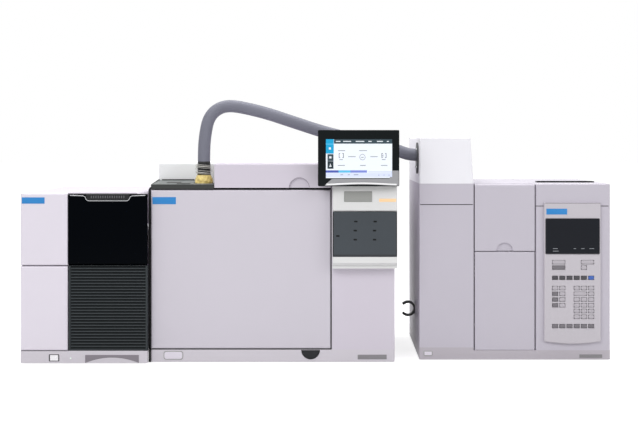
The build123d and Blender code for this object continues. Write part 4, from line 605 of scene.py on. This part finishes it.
# ---------------------------------------------------------------- louvre shadows
louvre_x, louvre_y, louvre_z = box("ms_louvre_panel")
SLAT_PITCH, SLAT_THICKNESS, SLAT_REACH = 7.1 * MM, 1.6 * MM, 5 * MM
SLAT_FIT, SLAT_FRAME, SLAT_ENDS = 0.4 * MM, 4 * MM, 2 * MM
SHADE_OVER_LIP, SHADE_UNDER_SLAT, SHADE_SKIN = 2.4 * MM, 0.3 * MM, 0.3 * MM
slat_slope = (SLAT_REACH - SLAT_FIT) / (SLAT_PITCH - SLAT_THICKNESS / 2)
slat_count = int((louvre_z[1] - louvre_z[0] - SLAT_ENDS) / SLAT_PITCH)
slat_middle = middle(louvre_z) - SLAT_PITCH / 2
shade_x = grow(louvre_x, -SLAT_FRAME - 0.4 * MM)
shade_y = standing(louvre_y[0] + SLAT_FIT, SHADE_SKIN, 0.05 * MM)
shades = []
for row in range(slat_count):
    lip_top = slat_middle + (row - (slat_count - 1) / 2) * SLAT_PITCH + SLAT_THICKNESS
    shade_z = (lip_top + SHADE_OVER_LIP, lip_top + SLAT_PITCH - SLAT_THICKNESS - SHADE_UNDER_SLAT)
    shades.append(sheared(slab(shade_x, shade_z, shade_y, FINE, FINE / 2), slat_slope, lip_top))
dark_trim_and_shade("ms_louvre_shades", shades, material=shade_black)

# ---------------------------------------------------------------- painted shade in the oven door's seams, and the lid's notch
# a dark frame behind the door, seen through its seams: painted shade in the gaps round the door
SEAM_SHADE_INSET, SEAM_SHADE_WIDTH, SEAM_SHADE_BEHIND = 9 * MM, 17 * MM, 1.6 * MM
seam_shade_spans = [grow(span, -SEAM_SHADE_INSET) for span in (door_x, door_z)]
dark_trim_and_shade("oven_door_seam_painted_shade", frame_round(
    *seam_shade_spans, door_y[1] + SEAM_SHADE_BEHIND, SEAM_SHADE_WIDTH, 2 * MM, rise=1.1 * MM
))
lid_x, lid_y, lid_z = box("gc_detector_lid")
# a dark line along the finger notch's arc: painted shade of the notch's upper edge
NOTCH_RADIUS, NOTCH_FROM_LEFT, NOTCH_START = 24.0 * MM, 202 * MM, 0.04
notch_turn = np.linspace(NOTCH_START, math.pi - NOTCH_START, 32)
notch_arc = arc((lid_x[0] + NOTCH_FROM_LEFT, lid_z[0]), NOTCH_RADIUS, notch_turn)
notch_painted_shade = carried(placed(notch_arc, lid_y[0] - 0.1 * MM, "front"), round_profile(0.5 * MM, 8))
make("lid_notch_painted_shade", notch_painted_shade, "detector_lid", painted_recess_shade)

# dark strips in the seams below and right of the door: painted shade in these gaps
STRIP_WIDTH, STRIP_END = 1.5 * MM, 2 * MM
strip_y = from_low(door_y, 0.5 * MM, 2 * MM)
strip_right = door_x[1] + STRIP_WIDTH
door_seam_shades = [
    slab(x, z, strip_y, FINE, FINE / 2) for x, z in [
        ((door_x[0] + STRIP_END, strip_right), (door_z[0] - STRIP_WIDTH, door_z[0] + FINE)),
        ((door_x[1] - FINE, strip_right), (door_z[0], door_z[1] - STRIP_END)),
    ]
]
dark_trim_and_shade("oven_door_seam_shade_strips", door_seam_shades, "oven_door")

# ---------------------------------------------------------------- front module and smoked hatch
BROW_BEHIND = 8 * MM
brow_y = box("gc_front_module")[1][0] + BROW_BEHIND
READER_X, READER_Z = (62.5 * MM, 128.5 * MM), (383.5 * MM, 408.5 * MM)
STATUS_X, STATUS_Z = (145 * MM, 185.5 * MM), (383.5 * MM, 391.2 * MM)
reader = slab(READER_X, READER_Z, (brow_y + 1.2 * MM, brow_y + 2.2 * MM), 1.5 * MM, 0.3 * MM)
make("module_reader_plate", reader, "frame", recess_grey)
status = slab(STATUS_X, STATUS_Z, standing(brow_y, 0.5 * MM, 1 * MM), 1 * MM, 0.4 * MM)
make("module_status_bar", status, "frame", amber_lamp)
hatch_x, hatch_y, hatch_z = box("gc_smoked_hatch")
HATCH_THICKNESS = 5 * MM
lean = (hatch_y[1] - hatch_y[0] - HATCH_THICKNESS) / (hatch_z[1] - hatch_z[0])
MARK_HALF_WIDTH, MARK_HALF_HEIGHT = 4 * MM, 2 * MM
# shares of the hatch's width and height
MARK_PLACES = [
    (0.36, 0.78), (0.66, 0.78), (0.35, 0.58), (0.65, 0.58), (0.35, 0.38), (0.65, 0.38), (0.08, 0.46)
]
marks = []
for column, row in MARK_PLACES:
    x = hatch_x[0] + column * (hatch_x[1] - hatch_x[0])
    z = hatch_z[0] + row * (hatch_z[1] - hatch_z[0])
    mark_y = standing(hatch_y[0] + lean * (z - hatch_z[0]), 0.3 * MM, 1.2 * MM)
    marks.append(slab(about(x, MARK_HALF_WIDTH), about(z, MARK_HALF_HEIGHT), mark_y, 1 * MM, 0.2 * MM))
dark_trim_and_shade("hatch_marks", marks, "smoked_hatch", bezel_black)

EDGE_LINE = 2.2 * MM
hatch_face = standing(hatch_y[0], 0.25 * MM, 1 * MM)
low_edge, side_top = hatch_z[0] + 2.6 * MM, hatch_z[1] - 3 * MM
hatch_edges = [
    sheared(slab(x, z, hatch_face, FINE, FINE), lean, hatch_z[0]) for x, z in [
        (hatch_x, (low_edge, low_edge + EDGE_LINE)),
        (from_low(hatch_x, 0, EDGE_LINE), (low_edge, side_top)),
        ((hatch_x[1] - EDGE_LINE, hatch_x[1]), (low_edge, side_top)),
    ]
]
dark_trim_and_shade("hatch_edges", hatch_edges, "smoked_hatch")

# ---------------------------------------------------------------- touch screen
case_x, case_y, case_z = box("screen_housing")
glass_y = cad_low[1] + 0.9 * MM
CASE_CORNER, CASE_EDGE, GLASS_INSET = 2.5 * MM, 2.4 * MM, 0.5 * MM
case = slab(case_x, case_z, (case_y[1], glass_y + 1.5 * MM), CASE_CORNER, CASE_EDGE)
make("screen_case", case, "frame", bezel_black, replaces=("screen_housing",))
glass_spans = [grow(span, -GLASS_INSET) for span in (case_x, case_z)]
glass = slab(*glass_spans, (glass_y, glass_y + 2.2 * MM), 2 * MM, 0.5 * MM)
make("screen_front_glass", glass, "frame", glass_black, replaces=("screen_glass",))
PICTURE_X, PICTURE_Z, LAYER_STEP = (19.7 * MM, 175.1 * MM), (440.2 * MM, 531.4 * MM), 0.1 * MM


def at_share(span, share):
    return span[0] + share * (span[1] - span[0])


def picture(left, right, low, high, layer):
    """A flat rectangle of the picture, over shares of its width and height, one layer above another."""
    x = [at_share(PICTURE_X, share) for share in (left, right)]
    z = [at_share(PICTURE_Z, share) for share in (low, high)]
    face = glass_y - layer * LAYER_STEP
    return slab(x, z, (face, face + 0.08 * MM), 0.2 * MM, 0.02 * MM, steps=2)


def picture_ring(across, up, radius, sides, width, layer=3):
    """A thin ring in the picture about a centre given in shares."""
    centre = (at_share(PICTURE_X, across), at_share(PICTURE_Z, up))
    loop = arc(centre, radius, np.linspace(0, 2 * np.pi, sides, endpoint=False))
    path = placed(loop, glass_y - layer * LAYER_STEP, "front")
    return carried(path, bar_profile(width / 2, 0.03 * MM), closed=True)


# each colour's layer and its rectangles, as shares of the picture: left, right, low and high
picture_blocks = {
    "pale": (1, [(0, 1, 0, 1)]),
    "cyan": (2, [(0, 0.118, 0.885, 1), (0, 0.118, 0.63, 0.865)]),
    "slate": (2, [(0.122, 1, 0.885, 1), (0.024, 0.114, 0.44, 0.615)]),
    "deep": (2, [(0.024, 0.114, 0.24, 0.435)]),
    "mist": (2, [(0, 0.118, 0.865, 0.885)]),
    "violet": (2, [(0.37, 0.62, 0.14, 0.2)]),
    "indigo": (2, [(0, 0.19, 0.14, 0.2)]),
    "wash": (2, [(0, 1, 0.03, 0.13), (0.64, 1, 0.14, 0.18)]),
    "sky": (2, [(0.19, 0.37, 0.14, 0.2)]),
    "white": (3, [
        (left, right, 0.932, 0.956) for left, right in
        [(0.15, 0.22), (0.26, 0.38), (0.45, 0.58), (0.64, 0.69), (0.77, 0.86), (0.92, 0.95)]
    ] + [
        (0.044, 0.076, 0.735, 0.79), (0.05, 0.084, 0.505, 0.56), (0.05, 0.084, 0.29, 0.32),
        (0.062, 0.072, 0.32, 0.37),
    ]),
    "line": (3, [
        (left, right, low, low + 0.012) for left, right, low in [
            (0.335, 0.45, 0.545), (0.67, 0.78, 0.545), (0.18, 0.29, 0.7), (0.5, 0.62, 0.7),
            (0.205, 0.255, 0.47), (0.845, 0.9, 0.47), (0.18, 0.285, 0.32), (0.515, 0.6, 0.32),
            (0.83, 0.93, 0.32), (0.22, 0.26, 0.08), (0.33, 0.36, 0.08), (0.42, 0.49, 0.08),
            (0.79, 0.805, 0.07), (0.87, 0.885, 0.07), (0.945, 0.96, 0.07), (0.53, 0.57, 0.528),
        ]
    ] + [
        (left, left + 0.008, 0.52, 0.64) for left in (0.195, 0.26, 0.84, 0.905)
    ] + [
        (left, left + 0.02, low, low + 0.014)
        for left in (0.195, 0.248, 0.84, 0.893) for low in (0.52, 0.626)
    ]),
}
picture_rings = {
    "line": [
        picture_ring(0.552, 0.54, 6.8 * MM, 8, 0.8 * MM), picture_ring(0.862, 0.58, 1.6 * MM, 16, 0.5 * MM)
    ],
}
for name, (layer, blocks) in picture_blocks.items():
    shapes = [picture(*block, layer) for block in blocks] + picture_rings.get(name, [])
    make("picture_" + name, shapes, "frame", screen_paint[name], smooth=False)

LIP_X, LIP_LOW, LIP_BOW = (17.2 * MM, 190.8 * MM), 422.3 * MM, 3.0 * MM
LIP_SHARES = [0, 0.095, 0.885, 0.9, 1]
LIP_TOPS = [423.5 * MM, 438.5 * MM, 438.5 * MM, 457.8 * MM, 457.8 * MM]
LIP_LEAST = 0.6 * MM


def lip_low(share):
    """The height of the lip's lower edge, which bows upwards towards the middle."""
    return LIP_LOW + LIP_BOW * np.sin(np.pi * np.clip(share, 0, 1)) ** 1.5


def chin(count=48, across=10):
    """The screen's silver lip: for each share u along it, a cross-section from the upper edge, which
    rises from the lower left corner to the picture and steps up at the right, down to a lower edge
    that bows upwards, standing furthest out along that edge."""
    u = np.linspace(0, 1, count)
    x = at_share(LIP_X, u)
    top = np.interp(u, LIP_SHARES, LIP_TOPS)
    low = np.minimum(lip_low(u), top - LIP_LEAST)
    v = np.linspace(0, 1, across)
    z = top[:, None] + (low - top)[:, None] * v[None, :]
    out = (0.1 + 0.3 * np.sin(v * np.pi / 2) ** 3) * MM
    y = np.broadcast_to(glass_y - out[None, :], z.shape)
    front_side = np.stack([np.broadcast_to(x[:, None], z.shape), y, z], axis=-1)
    back_side = front_side[:, ::-1].copy()
    back_side[..., 1] = glass_y + 0.3 * MM
    return closed_shape(np.concatenate([front_side, back_side], axis=1))


make("screen_chin", chin(), "frame", lip_silver)
# a near-white bar along the lower edge of the silver lip: painted highlight
HIGHLIGHT_OVER_EDGE, HIGHLIGHT_FORWARD = 2.6 * MM, 0.45 * MM
highlight_share = np.linspace(0.02, 0.97, 40)
highlight_line = np.stack([at_share(LIP_X, highlight_share), lip_low(highlight_share) + HIGHLIGHT_OVER_EDGE], axis=-1)
chin_painted_highlight = carried(
    placed(highlight_line, glass_y - HIGHLIGHT_FORWARD, "front"), bar_profile(2.0 * MM, 0.3 * MM, 1.3 * MM, 0.35 * MM)
)
make("screen_chin_painted_highlight", chin_painted_highlight, "frame", lip_painted_highlight)

# ---------------------------------------------------------------- inlet tray
tray_x, tray_y = box("gc_inlet_tray")[:2]
boot_x, boot_y, boot_z = box("line_boot")
DECK_FRONT, DECK_RISE = 424.2 * MM, 7 * MM
deck_slope = DECK_RISE / (tray_y[1] - tray_y[0])


def on_deck(a, b, height, corner=2 * MM):
    """A plate on the tray's sloping top, over spans counted in mm from its left and front edges."""
    x = [tray_x[0] + place * MM for place in a]
    y = [tray_y[0] + place * MM for place in b]
    z = (DECK_FRONT + height[1] * MM, DECK_FRONT + height[0] * MM)
    return sheared(slab(x, y, z, corner, 0.5 * MM, "top"), deck_slope, tray_y[0], moved=2, by=1)


deck_right = (boot_x[0] - tray_x[0]) / MM - 2
decks = [on_deck((0.6, deck_right), (1, 149), (-2, 0)), on_deck((deck_right - 1, 149.4), (1, 34), (-2, 0))]
make("tray_deck", decks, "frame", plate_grey)
deck_details = [
    on_deck((32, 66), (42, 74), (-0.6, 0.8), 3 * MM),
    on_deck((60, 92), (12, 30), (-0.6, 1.2), 2 * MM),
    on_deck((10, 90), (140, 147), (-0.6, 2.4), 1 * MM),
]
make("tray_deck_details", deck_details, "frame", tray_grey)

# ---------------------------------------------------------------- boot, sleeve and clamps
boot_centre = (middle(boot_x), middle(boot_y))


def round_sleeve(radius, height, angle, aside=0.0):
    """Points round the boot's and the sleeve's upright axis, which may be moved aside along X."""
    x = boot_centre[0] + aside + radius * np.cos(angle)
    return np.stack([x, boot_centre[1] + radius * np.sin(angle), height], axis=-1)


def crumpled_boot(rings=22, around=56):
    """A soft boot: its radius narrows upwards, bulges towards the middle and carries slanting folds,
    which die out at both ends; over the last tenth of the height the whole is drawn in."""
    v = np.linspace(0, 1, rings)[:, None]
    angle = np.linspace(0, 2 * np.pi, around, endpoint=False)[None, :]
    folds = 0.7 * np.sin(7 * angle + 5 * v) + 0.5 * np.sin(11 * angle - 9 * v + 1)
    folds = folds + 0.5 * np.sin(3 * angle + 12 * v)
    radius = 21.6 - 4.2 * v + 1.4 * np.sin(np.pi * v) ** 2
    radius = (radius + folds * np.sin(np.pi * np.clip(v * 0.9 + 0.08, 0, 1))) * MM
    radius = radius * (1 - 0.12 * np.clip((v - 0.9) / 0.1, 0, 1) ** 2)
    return closed_shape(round_sleeve(radius, boot_z[0] + v * (boot_z[1] - boot_z[0]) + 0 * angle, angle))


make("line_boot_wrap", crumpled_boot(), "frame", boot_yellow, replaces=("line_boot",))

sleeve_z = box("line_sleeve")[2]
SLEEVE_RADIUS, SLEEVE_FOLD, SLEEVE_FOLDS = 15.4 * MM, 0.5 * MM, 7
share = np.linspace(0, 1, 60)
sleeve_radius = SLEEVE_RADIUS + SLEEVE_FOLD * np.sin(share * 2 * np.pi * SLEEVE_FOLDS)
sleeve_profile = list(zip(sleeve_radius, share * (sleeve_z[1] - sleeve_z[0])))
sleeve = turned(sleeve_profile, (*boot_centre, sleeve_z[0]), (0, 0, 1))
make("line_sleeve_folds", sleeve, "frame", sleeve_black, replaces=("line_sleeve",))
EYE_DISTANCE, EYE_RADIUS = 18.6 * MM, 2.0 * MM
THICK_RADIUS, THICK_WIRE = 17.6 * MM, 1.0 * MM
THIN_RADIUS, THIN_WIRE = 17.8 * MM, 0.5 * MM


def hoop(height, radius, wire, aside, fall=1.6 * MM):
    """A wire ring round the sleeve, moved aside along X and falling to the right."""
    angle = np.linspace(0, 2 * np.pi, 48, endpoint=False)
    path = round_sleeve(radius, height - fall * np.cos(angle), angle, aside)
    return carried(path, round_profile(wire, 8), closed=True, up=(0, 0, 1))


def eye(height, turn):
    """The small eye where a ring's wire ends, at a turn round the sleeve."""
    angle = np.linspace(0, 2 * np.pi, 20, endpoint=False)
    distance = EYE_DISTANCE + EYE_RADIUS * np.cos(angle)
    path = round_sleeve(distance, height + EYE_RADIUS * np.sin(angle), turn)
    return carried(path, round_profile(THIN_WIRE, 6), closed=True, up=(-math.sin(turn), math.cos(turn), 0))


# heights over the sleeve's foot in mm, with the steps aside in mm or the eyes' turns
THICK_HOOPS = [(5, -0.6), (20, -0.6)]
THIN_HOOPS = [(2.4, -1), (9.5, 0.8), (16.5, -1), (23.5, -0.8)]
EYES = [(7.5, math.pi + 0.3), (15, math.pi + 0.1), (22, math.pi + 0.3), (12, -0.3)]
foot = sleeve_z[0]
clamps = [hoop(foot + rise * MM, THICK_RADIUS, THICK_WIRE, aside * MM) for rise, aside in THICK_HOOPS]
clamps += [hoop(foot + rise * MM, THIN_RADIUS, THIN_WIRE, aside * MM) for rise, aside in THIN_HOOPS]
clamps += [eye(foot + rise * MM, turn) for rise, turn in EYES]
make("line_clamps", clamps, "frame", wire_pale)

# ---------------------------------------------------------------- transfer hose
HOSE_ROUTE_MM = [
    (-276, -175, 478), (-276, -175, 514), (-272, -174, 550), (-266, -174, 578), (-253, -173, 598),
    (-233, -172, 610), (-209, -171, 613), (-174, -169, 607), (-123, -165, 594.5), (-57, -159, 572.5),
    (13, -153, 549.5), (77, -147, 534), (134, -141, 520), (190, -136, 506.5), (222, -135, 494),
    (240, -135, 494),
]
HOSE_LENGTH, HOSE_DIAMETER = 0.638, 0.030
hose_curve = bpy.data.curves.new("transfer_hose_sleeve", "CURVE")
hose_curve.dimensions = "3D"
hose_curve.bevel_depth = HOSE_DIAMETER / 2
hose_curve.bevel_resolution = 6
hose_curve.resolution_u = 16
hose_curve.use_fill_caps = True
spline = hose_curve.splines.new("NURBS")
spline.points.add(len(HOSE_ROUTE_MM) - 1)
for point, (x, y, z) in zip(spline.points, HOSE_ROUTE_MM):
    point.co = (x * MM, y * MM, z * MM, 1)
spline.order_u = 3
spline.use_endpoint_u = True
hose_curve.materials.append(hose_grey)
hose = bpy.data.objects.new("transfer_hose_sleeve", hose_curve)
bpy.context.collection.objects.link(hose)
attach(hose, "frame")
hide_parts("transfer_hose")

# ---------------------------------------------------------------- flange screws and line clip
flange_x, flange_y, flange_z = box("line_flange")
SCREW_CIRCLE = 30 * MM
SCREW_PROFILE = [(2.6 * MM, 0), (2.6 * MM, 1.4 * MM), (1.6 * MM, 2.2 * MM)]
screw_places = arc((middle(flange_y), middle(flange_z)), SCREW_CIRCLE, np.radians([45, 135, 225, 315]))
screws = [turned(SCREW_PROFILE, (flange_x[0], y, z), (-1, 0, 0), 12) for y, z in screw_places]
make("flange_screws", screws, "frame", bright_steel)

clip_x, clip_y, clip_z = box("hs_line_clip")
CLIP_WALL, CLIP_OPENING, STUB_HALF = 5.4 * MM, math.radians(40), 6 * MM
clip_radius = (clip_z[1] - clip_z[0] - CLIP_WALL) / 2
clip_middle = (clip_x[0] + clip_radius + CLIP_WALL / 2, middle(clip_z))
clip_turn = np.linspace(math.pi + CLIP_OPENING, 3 * math.pi - CLIP_OPENING, 40)
clip_band = carried(
    placed(arc(clip_middle, clip_radius, clip_turn), middle(clip_y), "front"),
    bar_profile(CLIP_WALL / 2, (clip_y[1] - clip_y[0]) / 2),
)
clip_stub = slab(
    (clip_middle[0] + clip_radius, clip_x[1]), about(clip_middle[1], STUB_HALF), grow(clip_y, -2 * MM),
    1 * MM, 0.5 * MM,
)
dark_trim_and_shade("line_clip_band", [clip_band, clip_stub], material=clip_black, replaces=("hs_line_clip",))

# ---------------------------------------------------------------- painted shade in the sampler's seams, and its handle
left_x, left_y, left_z = box("hs_left_cover")
bay_x = box("hs_vial_bay")[0]
right_x, right_y, right_z = box("hs_right_cover")
# dark sheets in the gaps between the sampler's covers, and dark lines in the seam grooves on their faces:
# painted shade
GAP_SHADE_DEPTH = (8 * MM, 11 * MM)
LEFT_SEAM_Z, RIGHT_SEAM_Z, SEAM_HEIGHT = 373.5 * MM, 370 * MM, 2 * MM
gap_painted_shades = [
    slab((low + FINE, high - FINE), (left_z[0], left_z[1] - 2 * MM),
         [left_y[0] + depth for depth in GAP_SHADE_DEPTH], FINE, FINE / 2)
    for low, high in [(left_x[1], bay_x[0]), (bay_x[1], right_x[0])]
]
groove_painted_shades = [
    slab(span, (low + FINE, low + SEAM_HEIGHT - FINE), (y[0] + 0.7 * MM, y[0] + 0.95 * MM), FINE, FINE / 4)
    for span, low, y in [
        (grow(left_x, -2 * MM), LEFT_SEAM_Z, left_y),
        ((right_x[0] + FINE, console_x[0] - FINE), RIGHT_SEAM_Z, right_y),
        ((console_x[1] + FINE, right_x[1] - 4 * MM), RIGHT_SEAM_Z, right_y),
    ]
]
dark_trim_and_shade("sampler_seam_gap_painted_shades", gap_painted_shades + groove_painted_shades)
HANDLE_X, HANDLE_Y, HANDLE_CORNER = (546 * MM, 681 * MM), (-85 * MM, -45 * MM), 8 * MM
WELL_DEPTH, WELL_WALL, BEZEL_WIDTH, BEZEL_OVER = 26 * MM, 1.6 * MM, 4 * MM, 1.4 * MM
well_walls = frame_round(
    HANDLE_X, HANDLE_Y, right_z[1] - 3.2 * MM - WELL_DEPTH / 2, WELL_WALL, HANDLE_CORNER, "top",
    rise=WELL_DEPTH / 2,
)
well_floor = slab(
    grow(HANDLE_X, WELL_WALL / 2), grow(HANDLE_Y, WELL_WALL / 2),
    (right_z[1] - 2 * MM - WELL_DEPTH, right_z[1] - 4 * MM - WELL_DEPTH), HANDLE_CORNER, 0.5 * MM, "top",
)
dark_trim_and_shade("sampler_handle_well", [well_walls, well_floor], material=latch_black)
bezel = frame_round(
    HANDLE_X, HANDLE_Y, right_z[1] + BEZEL_OVER, BEZEL_WIDTH, HANDLE_CORNER, "top", rise=1.6 * MM
)
dark_trim_and_shade("sampler_handle_bezel", bezel, material=latch_black)

# ---------------------------------------------------------------- sampler keys and display
# in mm: sizes, the first column from the sampler's left side, and the rows from the floor
KEY_WIDTH, KEY_HEIGHT, KEY_PITCH, ROW_PITCH = 13.7, 9.5, 17.3, 13.8
KEY_FIRST, FUNCTION_ROW, FIRST_ROW, BOTTOM_ROW = 325.5, 199.0, 174.4, 83.0
COMMAND_ROW, SECOND_COMMAND_ROW = 236.5, 223.5
KEY_INSET = 0.3
HS_LEFT = hs_base_x[0] / MM
key_x = [HS_LEFT + KEY_FIRST + column * KEY_PITCH for column in range(6)]
row_z = [FIRST_ROW - row * ROW_PITCH for row in range(6)]
double = KEY_WIDTH + KEY_PITCH
pair_step = KEY_PITCH / 2
key_front = box("hs_menu_keys")[1]


def key(x, z, width=KEY_WIDTH):
    """A key with rounded corners and a soft top edge."""
    half_width, half_height = (width / 2 - KEY_INSET) * MM, (KEY_HEIGHT / 2 - KEY_INSET) * MM
    depth = (key_front[0] + 0.2 * MM, key_front[1])
    return slab(about(x * MM, half_width), about(z * MM, half_height), depth, 3.4 * MM, 0.9 * MM)


key_sets = [
    ("hs_function_keys", [key(x, FUNCTION_ROW) for x in key_x[:5]], "menu_keys", "key_dark", key_dark),
    ("hs_shift_key", [key(key_x[5], FUNCTION_ROW)], "menu_keys", "key_blue", key_blue),
    ("hs_mode_keys", [key(key_x[0], z) for z in row_z[1:4]], "menu_keys", "key_dark", key_grey),
    ("hs_menu_pale_keys", [key(key_x[0], row_z[0])] + [key(key_x[1], z) for z in row_z[:4]], "menu_keys",
     "key_light", key_pale),
    ("hs_bottom_keys", [key(x, BOTTOM_ROW) for x in key_x], "menu_keys", "key_dark", key_grey),
    ("hs_digit_keys", [key(x, z) for x in key_x[3:] for z in [row_z[0]] + row_z[2:]]
     + [key(key_x[3] + pair_step, row_z[1], double), key(key_x[5], row_z[1])], "number_keys",
     "key_light", key_pale),
    ("hs_wide_keys", [key(key_x[0] + pair_step, COMMAND_ROW, double),
                      key(key_x[4] + pair_step, COMMAND_ROW, double),
                      key(key_x[4], SECOND_COMMAND_ROW)], "command_keys", "key_light", key_pale),
    ("hs_select_key", [key(key_x[0] + pair_step, SECOND_COMMAND_ROW, double)], "command_keys", "key_dark",
     key_grey),
]
stands_for = {"hs_function_keys": "hs_menu_keys", "hs_digit_keys": "hs_number_keys",
              "hs_wide_keys": "hs_command_keys"}
for name, shapes, body, slot, material in key_sets:
    make(name, shapes, body, material, replaces=[stands_for[name]] if name in stands_for else ())

display_x, display_y, display_z = box("hs_display")
display_rim = frame_round(
    grow(display_x, -1 * MM), grow(display_z, -1 * MM), display_y[0], 1.4 * MM, 3 * MM, rise=0.5 * MM
)
make("hs_display_rim", display_rim, "frame", key_grey)
# in mm from the display's lower left corner: start, length and height
DASHES = [(18, 12, 13), (18, 14, 7), (68, 6, 13), (86, 8, 13), (106, 11, 13)]
DASH_HEIGHT = 1.2
dash_y = standing(display_y[0], 0.15 * MM, 0.3 * MM)
dashes = [
    slab(from_low(display_x, start * MM, length * MM), from_low(display_z, height * MM, DASH_HEIGHT * MM),
         dash_y, 0.3 * MM, 0.1 * MM, steps=2)
    for start, length, height in DASHES
]
# a grey line along the console's top edge: painted shadow of the ledge above
dark_trim_and_shade("hs_console_painted_shadow_line", slab(
    grow(console_x, -1 * MM), (console_z[1] - 1.4 * MM, console_z[1] - 0.3 * MM),
    about(console_y[0], FINE), FINE / 2, FINE / 2,
), material=key_grey)
make("hs_display_dashes", dashes, "frame", ink_grey, smooth=False)


# ---------------------------------------------------------------- studio
def flat_stage(name, points, material):
    mesh = bpy.data.meshes.new(name)
    mesh.from_pydata(points, [], [(0, 1, 2, 3)])
    mesh.materials.append(material)
    stage = bpy.data.objects.new(name, mesh)
    bpy.context.collection.objects.link(stage)


def where_seen(tree):
    """One for a ray from the camera or off a glossy surface, and zero for any other."""
    path = add(tree, "ShaderNodeLightPath")
    seen = add(tree, "ShaderNodeMath", operation="MAXIMUM")
    tree.links.new(path.outputs["Is Camera Ray"], seen.inputs[0])
    tree.links.new(path.outputs["Is Glossy Ray"], seen.inputs[1])
    return seen.outputs[0]


FLOOR, FLOOR_GREY, FLOOR_GLOW = 40.0, 0.6, 0.75
WORLD_UNSEEN, WORLD_SEEN = 0.55, 1.0


def floor_finish():
    """Plain white: part of its own light where it is seen, so that only shadows darken it."""
    material = bpy.data.materials.new("studio_floor")
    material.use_nodes = True
    tree = material.node_tree
    shader = tree.nodes["Principled BSDF"]
    set_inputs(shader, {
        "Base Color": (FLOOR_GREY, FLOOR_GREY, FLOOR_GREY, 1), "Roughness": 0.9, "Specular IOR Level": 0.0,
        "Emission Color": (1, 1, 1, 1),
    })
    strength = add(tree, "ShaderNodeMath", operation="MULTIPLY")
    strength.inputs[1].default_value = FLOOR_GLOW
    tree.links.new(where_seen(tree), strength.inputs[0])
    tree.links.new(strength.outputs[0], shader.inputs["Emission Strength"])
    return material


floor_corners = [(-FLOOR, -FLOOR, 0), (FLOOR, -FLOOR, 0), (FLOOR, FLOOR, 0), (-FLOOR, FLOOR, 0)]
flat_stage("studio_floor", floor_corners, floor_finish())

world = bpy.data.worlds.new("studio")
world.use_nodes = True
bpy.context.scene.world = world
background = world.node_tree.nodes["Background"]
background.inputs["Color"].default_value = (1, 1, 1, 1)
world_level = add(world.node_tree, "ShaderNodeMapRange")
set_inputs(world_level, {"To Min": WORLD_UNSEEN, "To Max": WORLD_SEEN})
world.node_tree.links.new(where_seen(world.node_tree), world_level.inputs["Value"])
world.node_tree.links.new(world_level.outputs["Result"], background.inputs["Strength"])


def softbox(name, place, aim, size, watts):
    data = bpy.data.lights.new(name, "AREA")
    data.shape = "RECTANGLE"
    data.size, data.size_y = size
    data.energy = watts
    lamp = bpy.data.objects.new(name, data)
    lamp.location = place
    direction = np.array(aim, float) - np.array(place, float)
    lamp.rotation_euler = Vector(direction).to_track_quat("-Z", "Y").to_euler()
    bpy.context.collection.objects.link(lamp)


softbox("key_softbox", (-1.6, -3.2, 2.6), (0, 0, 0.25), (2.4, 1.8), 52)
softbox("fill_softbox", (2.4, -2.6, 1.6), (0, 0, 0.25), (2.0, 1.6), 24)
softbox("top_softbox", (0, 0.2, 2.8), (0, 0, 0), (3.0, 2.0), 66)

bpy.context.scene.view_settings.view_transform = "Standard"
